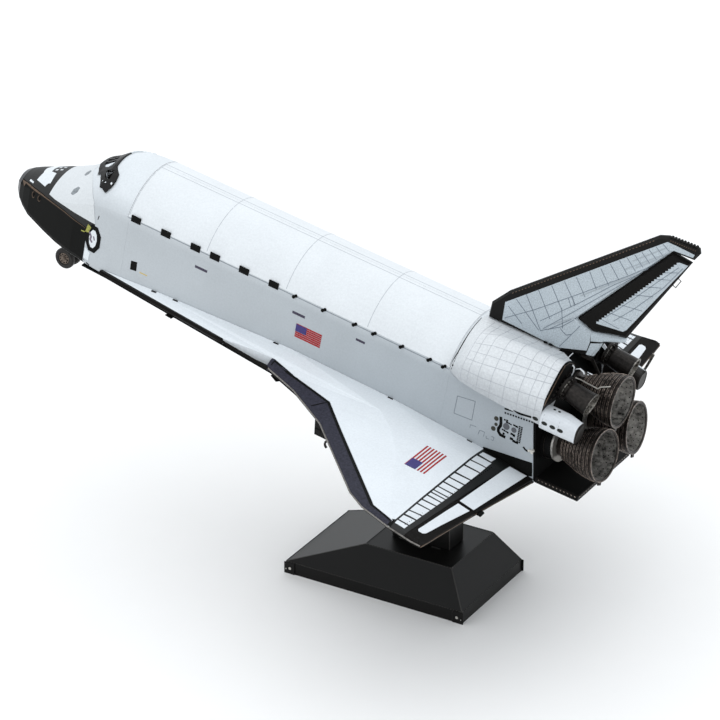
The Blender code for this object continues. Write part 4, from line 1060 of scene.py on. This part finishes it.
FIN_LINE = 0.12
EDGE_DASHES = (
    # start, end and count of the bronze dashes along the fin's front edge and its cap
    ((25.3, 28.75), (50.2, 51.6), 44), ((52.9, 52.75), (58.3, 52.95), 12),
)
HINGE_PLATE_SHAPE = ((53.5, 50.9), (38.65, 29.8), (39.6, 29.5), (54.4, 50.1))
EDGE_LOOP_Y = -0.1
EDGE_LOOP = ((54.9, 44.3), (55.9, 43.9), (56.6, 45.6), (55.7, 46.0), (54.9, 44.3))

front, back = Vector(RUDDER_PANEL_AFT[-1]), Vector(RUDDER_PANEL_AFT[0])
edge_way = (back - front).normalized()
edge_out = Vector((-edge_way.y, edge_way.x))
toothed = []
for i in range(TEETH + 1):
    at = front.lerp(back, i / TEETH)
    toothed.append(tuple(at))
    if i < TEETH:
        toothed.append(tuple(front.lerp(back, (i + 0.3) / TEETH) + edge_out * TOOTH))
        toothed.append(tuple(front.lerp(back, (i + 0.55) / TEETH) + edge_out * TOOTH * 0.6))
RUDDER_PANEL = toothed + list(RUDDER_PANEL_AFT[1:-1])


def on_fin_face(side):
    """Prints drawn in x and z on the flat faces of the fin and the rudder."""
    return lambda a, b: (Vector((a, side * FIN_FACE_Y, b)), Vector((0, -side, 0)))


for side_name, side in SIDES:
    way = from_side(side)
    printed("rudder_panel_" + side_name, tail_blue, (), on_fin_face(side), [RUDDER_PANEL])
    rungs = [stroke([(x0, z0), (x1, z1)], FIN_LINE) for x0, z0, x1, z1 in FIN_RUNGS]
    rungs += [stroke(line, FIN_LINE) for line in FIN_LONG_LINES]
    printed("fin_tile_lines_" + side_name, tile_line, ("fin",), way, rungs, lift=0.04,
            cell=(0.5, 0.0))
    printed("fin_faint_lines_" + side_name, tile_line_faint, ("fin",), way,
            [stroke(line, 0.25) for line in FIN_FAINT], lift=0.03, cell=(0.5, 0.0))
    printed("rudder_tile_lines_" + side_name, tile_line, (), on_fin_face(side),
            [stroke(line, FIN_LINE) for line in RUDDER_LINES], lift=0.05)
    dashes = []
    for start, end, count in EDGE_DASHES:
        start, end = Vector(start), Vector(end)
        dashes += [stroke([start.lerp(end, (i + 0.15) / count), start.lerp(end, (i + 0.6) / count)], 0.13)
                   for i in range(count)]
    printed("fin_edge_dashes_" + side_name, bronze_edge, ("fin",), way, dashes, lift=0.04)

hinge_bm = cut_plate([(x, -0.3, z) for x, z in HINGE_PLATE_SHAPE], (0, 0.6, 0))
orbiter_part("rudder_hinge_plate", hinge_bm, tail_black)
loop_bm = bmesh.new()
add_tube(loop_bm, [(x, EDGE_LOOP_Y, z) for x, z in EDGE_LOOP], 0.12)
orbiter_part("rudder_edge_loop", loop_bm, strip_edge_grey, smooth=True)
CAP_TABS = 9
CAP_TAB_START, CAP_TAB_STEP = (52.9, 53.15), (0.62, 0.03)
CAP_TAB = (0.42, 1.0, 0.3)
cap_bm = bmesh.new()
for i in range(CAP_TABS):
    x, z = [start + step * i for start, step in zip(CAP_TAB_START, CAP_TAB_STEP)]
    add_block(cap_bm, (x, 0.0, z), CAP_TAB, bevel=0.06)
orbiter_part("fin_cap_tabs", cap_bm, tail_black)


# Two long humped pods sit either side of the fin. Each is one curved white sheet printed with a
# grid of tile lines that follow its curve, with a dark gap at its rounded front. Small twisted
# tabs hold it to the fin's foot.

# As on the walls, the greyer tone low on the side is painted shade, picked to look as it does in the photo.
SHADED_POD_TONES = ((0.40, 0.422, 0.44), (0.62, 0.643, 0.66))      # low on the pod's side and over its top
POD_SHADE_FADE = (13.0, 20.0)
POD_AXIS = (8.2, 17.0)


def shaded_pod_pattern(side):
    """The print of one side's pod: white, with painted shade greyer low on the side and dark inside."""
    def pattern(tree, place, shaded_low_tone):
        rise = fade(tree, part_of(tree, place, 2), *POD_SHADE_FADE)
        outside = overprint(tree, rise, shaded_low_tone, (*SHADED_POD_TONES[1], 1.0))
        return painted_shade_inside(tree, place, outside, side * POD_AXIS[0], POD_AXIS[1])
    return pattern


pod_line = ink("pod_tile_line_print", (0.42, 0.44, 0.465), 0.5)
for side_name, side in SIDES:
    dress(("oms_pod_" + side_name,), ink(side_name + "_pod_painted_shade", SHADED_POD_TONES[0], 0.48, speckle=0.1,
                                         pattern=shaded_pod_pattern(side)))

POD_COLUMNS = (
    # x at the low edge and at the fin of each line round the pod
    (24.0, 23.5), (25.65, 25.0), (27.9, 27.0), (30.8, 29.7), (33.8, 32.7), (36.9, 35.7), (39.0, 38.1),
    (40.6, 39.9),
)
POD_COLUMN_RANGE = (-26, 158)
POD_ROWS = (
    # degrees round the pod's axis at its front and at its back
    (134, 126), (104, 100), (74.8, 69.9), (50, 59), (25.6, 49.4), (-1.3, 21.7), (-25, -1.8),
)
POD_LINE = 0.1
POD_ROW_WIDTH = 0.7         # in degrees
POD_ROW_X = (23.6, 41.9)
POD_GAP = (
    # x and degrees up from the side, round the dark gap at the pod's front
    (20.5, 20.0), (21.35, 20.0), (21.6, 24.0), (21.3, 30.0), (20.95, 38.0), (20.86, 60.0), (20.84, 82.0),
    (20.74, 82.0), (20.74, 60.0), (20.7, 38.0), (20.55, 28.0),
)


def round_axis(side, y, z):
    """Prints drawn in x and degrees up from the side, round a fore-and-aft axis."""
    def ray(a, b):
        out = Vector((0, side * math.cos(math.radians(b)), math.sin(math.radians(b))))
        return Vector((a, side * y, z)) + out * FAR, -out
    return ray


for side_name, side in SIDES:
    pod = "oms_pod_" + side_name
    outlines = [[(foot - POD_LINE / 2, POD_COLUMN_RANGE[0]), (foot + POD_LINE / 2, POD_COLUMN_RANGE[0]),
                 (top + POD_LINE / 2, POD_COLUMN_RANGE[1]), (top - POD_LINE / 2, POD_COLUMN_RANGE[1])]
                for foot, top in POD_COLUMNS]
    outlines += [stroke(list(zip(POD_ROW_X, angles)), POD_ROW_WIDTH) for angles in POD_ROWS]
    printed("pod_tile_lines_" + side_name, pod_line, (pod,), round_axis(side, *POD_AXIS),
            outlines, lift=0.025, cell=(0.8, 5.0))
    joined = (pod, "aft_fuselage", "bay_door_" + side_name)
    printed("pod_front_gap_" + side_name, black_ink, joined,
            round_axis(side, 0.0, ROOF_AXIS_Z), [POD_GAP], lift=0.05, cell=(0.4, 4.0))
    nick_bm = bmesh.new()
    for x in (34.2, 35.3):
        add_block(nick_bm, (x, side * 1.15, 22.35), (0.7, 0.5, 0.3), bevel=0.08)
    orbiter_part("pod_foot_tabs_" + side_name, nick_bm, black_ink)


# Behind each pod stands a black end plate whose cut edge shines, and below it a white thruster
# housing, a rolled box with four black ports low on its side and two on top. The manoeuvring
# engine is a short dark barrel on a ribbed neck, open at its end.

HOUSING_CAP_X = 49.3
gear_grey = ink("port_dark_print", (0.024, 0.026, 0.024), 0.5, specular=0.1)
# The left and the right housing are painted near-black with shade inboard of these. They differ
# because each was picked for the photo's view; the real ones may well be alike.
HOUSING_SHADE_Y = (11.2, 13.2)
HOUSING_BARE_AND_SHADE = (0.013, 0.011, 0.0095)


def housing_pattern_with_shade(tree, place, white):
    """White outside, bare dark steel on the aft end and painted shade on the side that faces the engines."""
    inner = [combine(tree, "MULTIPLY", beyond(tree, place, (0.0, -side, 0.0), -reach),
                     beyond(tree, place, (0.0, side, 0.0), 0.0))
             for (_, side), reach in zip(SIDES, HOUSING_SHADE_Y)]
    dark = combine(tree, "MAXIMUM", *inner, beyond(tree, place, (1.0, 0.0, 0.0), HOUSING_CAP_X))
    return overprint(tree, dark, white, (*HOUSING_BARE_AND_SHADE, 1.0))


# Painted shade on each housing's inboard side.
housing_white_and_shade = ink("housing_print_painted_shade", (0.62, 0.65, 0.68), 0.46, pattern=housing_pattern_with_shade)
barrel_metal = ink("barrel_dark_steel", (0.022, 0.019, 0.017), 0.42, metallic=0.6, speckle=0.5, drift=0.3,
                   fineness=1.6)
speckled_steel = ink("speckled_bare_steel", (0.26, 0.245, 0.22), 0.36, metallic=0.85, speckle=1.1, drift=0.3,
                     fineness=3.0)
dress(("thruster_housing_left", "thruster_housing_right"), housing_white_and_shade)
dress(("oms_engine_left", "oms_engine_right"), barrel_metal)

HOUSING_PORTS = ((41.05, 14.9), (43.1, 14.95), (44.8, 14.95), (46.4, 14.95))
PLATE_EDGE = (
    # y, z of the end plate's bright cut edge, over the top of the pod
    (5.0, 22.9), (6.2, 23.9), (7.9, 24.75), (9.6, 24.9), (11.2, 23.6), (12.9, 21.6), (14.6, 19.5),
    (15.0, 18.7),
)
STUD_START, STUD_STEP = (6.0, 22.6), (0.86, -0.42)
STUDS = 9
CAP_MIDDLE, CAP_HALF = (12.65, 14.8), (1.62, 1.75)
CAP_SQUARENESS = 0.75       # 1 would make the cap's outline round
NECK_RIBS = 12
OMS_BASE = (42.77, 8.3, 19.9)
OMS_TILT, OMS_TURN = math.radians(10.5), math.radians(2.0)
OMS_PARTS = (
    # name, then along and radius round the profile of each turned part of the barrel
    ("oms_rim_", ((5.95, 2.34), (6.16, 2.46), (6.16, 2.16), (6.02, 2.12))),
    ("oms_liner_", ((6.05, 2.05), (3.25, 1.76), (2.5, 0.02), (2.62, 0.02), (3.4, 1.7), (6.05, 1.98))),
    ("oms_neck_ring_", ((0.5, 1.78), (0.5, 1.98), (0.62, 1.98), (0.62, 1.78))),
)


def squarish(angle):
    """A point of a unit circle drawn out towards the corners of a square."""
    return [math.copysign(abs(part) ** CAP_SQUARENESS, part) for part in (math.cos(angle), math.sin(angle))]


def spun(profiles, steps):
    """Closed profiles of (along, radius) spun round the x axis into one bmesh."""
    bm = bmesh.new()
    for profile in profiles:
        verts = [bm.verts.new((along, 0.0, radius)) for along, radius in profile]
        edges = [bm.edges.new((verts[i - 1], verts[i])) for i in range(len(verts))]
        bmesh.ops.spin(bm, geom=verts + edges, cent=(0, 0, 0), axis=(1, 0, 0), angle=math.tau, steps=steps,
                       use_merge=True)
    bmesh.ops.remove_doubles(bm, verts=bm.verts, dist=0.001)
    return bm


for side_name, side in SIDES:
    way = from_side(side)
    holders = ("thruster_housing_" + side_name, "oms_pod_" + side_name)
    printed("housing_ports_" + side_name, gear_grey, holders, way,
            [round_dot(x, z, 0.62, 0.62) for x, z in HOUSING_PORTS], lift=0.05, cell=(0.6, 0.0))
    printed("housing_top_ports_" + side_name, black_ink, holders, from_above,
            [round_dot(x, side * 12.6, 0.3, 0.9) for x in (43.66, 44.65)])
    printed("housing_lines_" + side_name, pod_line, holders, way,
            [stroke([(42.6, 13.2), (42.6, 16.6)], POD_LINE), stroke([(45.9, 13.3), (45.9, 16.6)], POD_LINE)],
            cell=(0.0, 0.8))
    cap_ring = [squarish(math.tau * i / 20) for i in range(20)]
    cap = cut_plate([(49.42, side * (CAP_MIDDLE[0] + CAP_HALF[0] * a), CAP_MIDDLE[1] + CAP_HALF[1] * b)
                     for a, b in cap_ring], (0.12, 0, 0))
    outer = [face for face in cap.faces if abs(face.normal.x) > 0.9 and face.calc_center_median().x > 49.5]
    bmesh.ops.inset_individual(cap, faces=outer, thickness=0.16, depth=-0.08)
    orbiter_part("housing_end_cap_" + side_name, cap, barrel_metal)
    edge, studs, fins = bmesh.new(), bmesh.new(), bmesh.new()
    add_tube(edge, [(42.44, side * y, z) for y, z in PLATE_EDGE], 0.09)
    orbiter_part("end_plate_cut_edge_" + side_name, edge, bronze_edge, smooth=True)
    for i in range(STUDS):
        y, z = [start + step * i for start, step in zip(STUD_START, STUD_STEP)]
        add_block(studs, (42.55, side * y, z), (0.25, 0.5, 0.35), Matrix.Rotation(side * 0.7, 4, "X"), 0.05)
    orbiter_part("end_plate_studs_" + side_name, studs, barrel_metal)
    barrel_place = ORBITER @ Matrix.Translation((OMS_BASE[0], side * OMS_BASE[1], OMS_BASE[2])) \
        @ Matrix.Rotation(side * OMS_TURN, 4, "Z") @ Matrix.Rotation(OMS_TILT, 4, "Y")
    for name, profile in OMS_PARTS:
        orbiter_part(name + side_name, spun([profile], 28), speckled_steel,
                     place=barrel_place, smooth=True)
    for i in range(NECK_RIBS):
        a = math.tau * i / NECK_RIBS
        add_block(fins, (0.85, 2.0 * math.sin(a), 2.0 * math.cos(a)), (0.7, 0.16, 0.5),
                  Matrix.Rotation(-a, 4, "X"), 0.04)
    orbiter_part("oms_neck_ribs_" + side_name, fins, barrel_metal, place=barrel_place)


# The three main engines are cones of dark tinted steel, wound round with fine ribs whose crests
# shine. Inside they are bare mottled steel with etched dots. Each stands on a pale ring and a
# black drum, and a pale wire runs zigzag over the top engine.

bell_metal = ink("bell_tinted_steel", (0.026, 0.021, 0.018), 0.36, metallic=0.75, speckle=0.6, drift=0.5,
                 fineness=1.4)
rib_metal = ink("bell_rib_crest", (0.25, 0.205, 0.175), 0.32, metallic=0.85, speckle=1.2, drift=0.5,
                fineness=2.4)
liner_metal = ink("bell_inner_steel", (0.30, 0.288, 0.27), 0.34, metallic=0.7, speckle=0.8, drift=0.5,
                  fineness=1.1)
collar_metal = ink("pale_collar_steel", (0.36, 0.345, 0.32), 0.36, metallic=0.7, speckle=0.2)
wire_metal = ink("pale_wire", (0.60, 0.58, 0.53), 0.35, metallic=0.4)
white_tab = ink("white_tab_print", (0.62, 0.64, 0.66), 0.45)
dress(("main_engine_top", "main_engine_left", "main_engine_right"), bell_metal)
dress(("engine_collar_left", "engine_collar_right"), collar_metal)
dress(("engine_collar_top",), bell_metal)
dress(("engine_drum_top", "engine_drum_left", "engine_drum_right"), bulkhead_black)

MAIN_ENGINES = (
    # name, exit x, exit y, exit z, upward tilt, outward turn and the seam's place, in degrees
    ("top", 51.4, 0.0, 16.8, 7.0, 0.0, 20), ("left", 52.9, -6.5, 8.7, 14.0, -3.5, 215),
    ("right", 52.9, 6.5, 8.7, 14.0, 3.5, 145),
)
BELL_LENGTH = 9.2
BELL_THROAT_R, BELL_EXIT_R = 2.0, 4.95
BELL_SKIN = 0.13            # from the bell's own line out to the skin that the ribs stand on
BELL_WALL = 0.35
BELL_RIBS = 9
CREST = (0.05, 0.04)        # half width and height of a rib's shining crest
BELL_DOTS = (
    # share of the length, count and radius of each ring of etched dots
    (0.93, 24, 0.13), (0.84, 20, 0.13), (0.74, 18, 0.13), (0.63, 14, 0.13),
)
RIM_R = BELL_EXIT_R + BELL_SKIN
BELL_RIM = (
    (BELL_LENGTH - 0.12, RIM_R - 0.05), (BELL_LENGTH - 0.05, RIM_R + 0.07),
    (BELL_LENGTH + 0.06, RIM_R + 0.05), (BELL_LENGTH + 0.08, RIM_R - 0.1),
    (BELL_LENGTH + 0.02, BELL_EXIT_R - 0.38), (BELL_LENGTH - 0.12, BELL_EXIT_R - 0.36),
)
RIM_EDGE = (
    (BELL_LENGTH + 0.05, RIM_R - 0.02), (BELL_LENGTH + 0.12, RIM_R - 0.04),
    (BELL_LENGTH + 0.12, RIM_R - 0.12), (BELL_LENGTH + 0.05, RIM_R - 0.13),
)
BELL_FLOOR = ((2.6, 0.0), (2.6, 1.9), (2.78, 1.9), (2.78, 1.3), (2.7, 1.2), (2.7, 0.0))
LINER_RUNS = (0.985, 0.85, 0.7, 0.55, 0.4, 0.3)
SEAM_RUNS = (0.08, 0.25, 0.45, 0.65, 0.85, 0.97)
RIM_TAB_ANGLE = math.radians(200)
DRUM_FOLDS = (
    ((-3.6, 3.14), (-3.6, 3.2), (-3.45, 3.2), (-3.45, 3.14)),
    ((-2.1, 3.12), (-2.1, 3.18), (-2.0, 3.18), (-2.0, 3.12)),
)

def bell_radius(run):
    return BELL_THROAT_R + (BELL_EXIT_R - BELL_THROAT_R) * math.sin(run * math.pi / 2) ** 1.15


def round_x(along, radius, angle):
    """A point at some radius and angle round the x axis."""
    return Vector((along, radius * math.sin(angle), radius * math.cos(angle)))


for name, x, y, z, tilt, turn, seam_at in MAIN_ENGINES:
    tilt, turn = math.radians(tilt), math.radians(turn)
    way = Vector((math.cos(tilt) * math.cos(turn), math.sin(turn), math.sin(tilt)))
    throat = Vector((x, y, z)) - way * BELL_LENGTH
    aim = Vector((1, 0, 0)).rotation_difference(way).to_matrix().to_4x4()
    place = ORBITER @ Matrix.Translation(throat) @ aim
    crests = []
    for rib in range(BELL_RIBS):
        for share in (0.5, 0.85):
            run = 0.1 + 0.84 * (rib + share) / BELL_RIBS
            along, radius = run * BELL_LENGTH, bell_radius(run) + BELL_SKIN
            crests.append([(along - CREST[0], radius - 0.03), (along - CREST[0] / 2, radius + CREST[1]),
                           (along + CREST[0] / 2, radius + CREST[1]), (along + CREST[0], radius - 0.03)])
    skin = [(run * BELL_LENGTH, bell_radius(run) - BELL_WALL - 0.03) for run in LINER_RUNS]
    back = [(along, radius - 0.06) for along, radius in reversed(skin)]
    turned = [("bell_crests_", crests, 36, rib_metal, "engine_metal"),
              ("bell_rim_", [BELL_RIM], 48, bell_metal, "engine_metal"),
              ("bell_rim_edge_", [RIM_EDGE], 48, rib_metal, "engine_metal"),
              ("bell_liner_", [skin + back], 48, liner_metal, "collar_metal"),
              ("bell_floor_", [BELL_FLOOR], 28, bell_metal, "engine_metal")]
    if name != "top":
        turned.append(("drum_folds_", DRUM_FOLDS, 28, bell_metal, "engine_metal"))
    for piece, profiles, steps, finish, slot in turned:
        orbiter_part(piece + name, spun(profiles, steps), finish, place=place, smooth=True)
    dots, seam, tabs = bmesh.new(), bmesh.new(), bmesh.new()
    for ring, (run, count, size) in enumerate(BELL_DOTS):
        for i in range(count):
            a = math.tau * (i + 0.5 * (ring % 2)) / count
            at = round_x(run * BELL_LENGTH, bell_radius(run) - BELL_WALL - 0.1, a)
            inward = round_x(0, -1, a)
            add_rod(dots, at - inward * 0.05, at + inward * 0.03, size, 6)
    orbiter_part("bell_inner_dots_" + name, dots, bulkhead_black, place=place)
    line = [round_x(run * BELL_LENGTH, bell_radius(run) + 0.17, math.radians(seam_at)) for run in SEAM_RUNS]
    add_tube(seam, line, 0.1, squash=0.7)
    orbiter_part("bell_seam_" + name, seam, rib_metal, place=place, smooth=True)
    add_block(tabs, round_x(BELL_LENGTH - 0.1, RIM_R + 0.25, RIM_TAB_ANGLE), (0.3, 1.1, 0.7),
              Matrix.Rotation(-RIM_TAB_ANGLE, 4, "X"), 0.06)
    orbiter_part("bell_rim_tab_" + name, tabs, bell_metal, place=place)

wire_bm = bmesh.new()
add_tube(wire_bm, [(42.0, -2.15, 18.7), (43.1, -1.9, 18.6), (45.1, -2.6, 18.9), (46.3, -2.95, 19.1),
                   (47.2, -3.3, 19.25), (47.8, -3.3, 19.9), (49.5, -3.05, 20.75)], 0.12, sides=8)
orbiter_part("top_engine_wire", wire_bm, wire_metal, smooth=True)


# Between the pods the black bulkhead carries small fittings: curled white tabs, a strip bent to an
# L, a short wire, and a thin grey plate that stands beyond the right-hand pod.

CURLS = (
    ((41.9, -6.0, 23.37), (42.41, -6.0, 23.44), (42.84, -6.0, 23.1), (42.88, -6.0, 22.2),
     (42.71, -6.0, 21.38)),
    ((43.24, -6.0, 22.92), (44.01, -6.0, 23.4), (44.78, -6.0, 23.11), (45.05, -6.0, 22.7)),
    ((40.64, -5.0, 23.41), (41.48, -5.0, 25.1)),
)
FLAT_TABS = (
    # name, y, thickness, finish and slot, then x, z round the tab
    ("middle_white_tab", 3.0, 0.2, white_tab, "white_sheet",
     ((43.67, 23.99), (43.91, 24.77), (44.6, 24.25), (44.4, 23.6))),
    ("far_grey_plate", 13.5, 0.3, speckled_steel, "engine_metal",
     ((49.84, 20.71), (50.29, 20.36), (49.66, 17.82), (49.06, 15.84), (48.66, 16.02))),
)
curl_bm = bmesh.new()
for points in CURLS:
    add_tube(curl_bm, points, 0.22, sides=8, squash=0.45)
orbiter_part("curled_white_tabs", curl_bm, white_tab, smooth=True)
for name, y, thick, finish, slot, outline in FLAT_TABS:
    tab = cut_plate([(x, y, z) for x, z in outline], (0, thick, 0))
    orbiter_part(name, tab, finish)

strip_bm = bmesh.new()
STRIP_BEND = (Vector((41.2, 0.0, 22.34)), Vector((43.56, 0.4, 22.17)), Vector((45.66, 0.0, 20.04)))
for start, end in zip(STRIP_BEND, STRIP_BEND[1:]):
    way = (end - start).normalized()
    turn = way.to_track_quat("X", "Z").to_matrix().to_4x4()
    add_block(strip_bm, (start + end) / 2, ((end - start).length, 0.16, 0.7), turn, 0.04)
orbiter_part("perforated_strip", strip_bm, barrel_metal)

wires_bm = bmesh.new()
add_tube(wires_bm, [(40.1, -4.6, 22.6), (39.5, -1.6, 21.9)], 0.1)
orbiter_part("bulkhead_wires", wires_bm, barrel_metal, smooth=True)


# The body flap is a shallow black tray under the engines. Its sides and aft edge are folded up
# and locked by rows of small tabs that show as pale nicks.

flap_black = ink("flap_black_print", (0.0038, 0.0038, 0.0036), 0.5, speckle=0.2, specular=0.08)
dress(("body_flap",), flap_black)
FLAP_X = (42.45, 51.4)
FLAP_HALF = (10.9, 10.6)
RIM_Z, RIM_TUBE, RIM_INSET = 0.62, 0.16, 0.12
NICK_Z = 0.35
SIDE_NICKS, AFT_NICKS = 11, 24
flap_rim, flap_nicks = bmesh.new(), bmesh.new()
for side in (-1, 1):
    ends = [(x, side * (half - RIM_INSET), RIM_Z) for x, half in zip(FLAP_X, FLAP_HALF)]
    add_tube(flap_rim, ends, RIM_TUBE)
    for i in range(SIDE_NICKS):
        x = FLAP_X[0] + 0.7 + 0.76 * i
        y = side * (FLAP_HALF[0] - 0.02 - 0.034 * (x - FLAP_X[0]))
        add_block(flap_nicks, (x, y, NICK_Z), (0.3, 0.12, 0.14), Matrix.Rotation(0.5, 4, "Y"), 0.03)
add_tube(flap_rim, [(FLAP_X[1] - RIM_INSET, y, RIM_Z) for y in (-FLAP_HALF[1], FLAP_HALF[1])], RIM_TUBE)
for i in range(AFT_NICKS):
    add_block(flap_nicks, (FLAP_X[1] + 0.01, -9.9 + 0.86 * i, NICK_Z), (0.12, 0.3, 0.14), None, 0.03)
orbiter_part("flap_folded_rim", flap_rim, band_black, smooth=True)
orbiter_part("flap_tab_nicks", flap_nicks, rib_metal)


# The gear is cut from black sheet: a leg under the nose and one under each wing, each with a twin
# wheel whose face is dished round a bare hub and a ring of dark holes, and a trapezoid door
# beside each main leg with a small bracket and a curled tab.

gear_black = ink("gear_black_print", (0.0085, 0.0085, 0.008), 0.48, speckle=0.3, specular=0.12)
tyre_metal = ink("wheel_dark_steel", (0.022, 0.0205, 0.019), 0.45, metallic=0.4, speckle=0.4, drift=0.2)
hub_metal = ink("wheel_hub_bronze", (0.125, 0.1, 0.082), 0.36, metallic=0.85, speckle=0.9, fineness=3.0)
dress(("nose_gear_leg", "main_gear_leg_left", "main_gear_leg_right", "main_gear_door_left",
       "main_gear_door_right"), gear_black)
dress(("nose_wheels", "main_wheels_left", "main_wheels_right"), tyre_metal)

WHEELS = (
    # body, axle x, y, z, tyre radius
    ("nose_wheels", -70.8, 0.0, -7.4, 2.2), ("main_wheels_left", 4.6, -14.0, -9.4, 2.3),
    ("main_wheels_right", 4.6, 14.0, -9.4, 2.3),
)
WHEEL_FACE = 1.67 - 0.2     # the dished face's distance from the leg's middle
HUB_HOLES = 9
HOLE_RING, HOLE_R = 0.4, 0.075      # shares of the tyre's radius

HUB_DISCS = (
    # thickness, share of the tyre's radius and sides of the face, the hub and the ring round it
    (0.06, 0.53, 30), (0.26, 0.16, 14), (0.14, 0.24, 18),
)

for body, x, y, z, radius in WHEELS:
    hub, holes = bmesh.new(), bmesh.new()
    for face in (-1, 1):
        out = Vector((0, face, 0))
        middle = Vector((x, y + face * WHEEL_FACE, z))
        for thick, share, sides in HUB_DISCS:
            add_rod(hub, middle, middle + out * thick, radius * share, sides)
        for i in range(HUB_HOLES):
            a = math.tau * i / HUB_HOLES
            at = middle + Vector((math.cos(a), 0, math.sin(a))) * radius * HOLE_RING
            add_rod(holes, at, at + out * 0.075, radius * HOLE_R, 8)
    orbiter_part(body + "_hub_faces", hub, hub_metal, body=body, smooth=True)
    orbiter_part(body + "_hub_holes", holes, stand_dot, body=body)

DOOR_BRACKETS = (
    # x, sideways, z, size and turn of each bracket on the main gear's door
    (8.9, 17.0, -6.6, (2.6, 0.25, 0.9), 0.5), (-0.6, 16.85, -7.2, (1.3, 0.2, 0.7), 0.0),
)
CURL_MIDDLE, CURL_R = (2.4, 17.0, -9.0), 0.9
CURL_ANGLES = tuple(math.radians(20 + 28 * i) for i in range(9))

for side_name, side in SIDES:
    bracket = bmesh.new()
    for x, y, z, size, turn in DOOR_BRACKETS:
        add_block(bracket, (x, side * y, z), size, Matrix.Rotation(turn, 4, "Y"), 0.06)
    orbiter_part("gear_door_bracket_" + side_name, bracket, gear_black)
    curl = bmesh.new()
    x, y, z = CURL_MIDDLE
    rounds = [(x + CURL_R * math.cos(a), side * y, z + CURL_R * math.sin(a)) for a in CURL_ANGLES]
    add_tube(curl, rounds, 0.24, sides=8)
    orbiter_part("gear_door_curl_" + side_name, curl, tyre_metal, smooth=True)


# The model stands on a pale table top that runs on out of sight, under one wide soft light
# overhead and an even white light from all round. The camera looks from the model's left rear
# quarter, a little above it.

TABLE_HALF = 3.0            # metres
SKY, SKY_STRENGTH = (0.93, 0.965, 1.0, 1.0), 1.1
table_bm = bmesh.new()
bmesh.ops.create_grid(table_bm, x_segments=2, y_segments=2, size=TABLE_HALF)
table_mesh = bpy.data.meshes.new("table_top")
table_bm.to_mesh(table_mesh)
table_bm.free()
table = bpy.data.objects.new("table_top", table_mesh)
bpy.context.scene.collection.objects.link(table)
table_paint = sheet_finish("table_white_paper", (0.90, 0.893, 0.882), roughness=0.7, speckle=0.0, drift=0.004,
                           bump=0.0, specular=0.2)
table_mesh.materials.append(table_paint)

world = bpy.data.worlds.new("studio_white")
world.use_nodes = True
sky = world.node_tree.nodes["Background"]
sky.inputs["Color"].default_value = SKY
sky.inputs["Strength"].default_value = SKY_STRENGTH
bpy.context.scene.world = world

SOFTBOX = (-0.25, 0.0, 0.8)         # metres
SOFTBOX_AIM = (0.0, 0.0, 0.03)
SOFTBOX_WIDTH = 1.7
SOFTBOX_WATTS = 4.0
box_data = bpy.data.lights.new("overhead_softbox", "AREA")
box_data.shape = "RECTANGLE"
box_data.size = SOFTBOX_WIDTH
box_data.size_y = SOFTBOX_WIDTH
box_data.energy = SOFTBOX_WATTS
softbox = bpy.data.objects.new("overhead_softbox", box_data)
bpy.context.scene.collection.objects.link(softbox)
softbox.location = SOFTBOX
softbox.rotation_euler = (Vector(SOFTBOX_AIM) - Vector(SOFTBOX)).to_track_quat("-Z", "Y").to_euler()

CAMERA_PLACE = (0.30200, -0.52008, 0.34156)     # fitted to the photo, like its turn and its lens
CAMERA_TURN = (1.1145, 0.0036, 0.5384)
CAMERA_LENS, CAMERA_SENSOR = 175.438, 36.0
camera_data = bpy.data.cameras.new("studio_camera")
camera_data.lens = CAMERA_LENS
camera_data.sensor_width = CAMERA_SENSOR
camera_data.clip_start = 0.01
camera = bpy.data.objects.new("studio_camera", camera_data)
bpy.context.scene.collection.objects.link(camera)
camera.location = CAMERA_PLACE
camera.rotation_euler = CAMERA_TURN
bpy.context.scene.camera = camera
bpy.context.scene.view_settings.view_transform = "Standard"
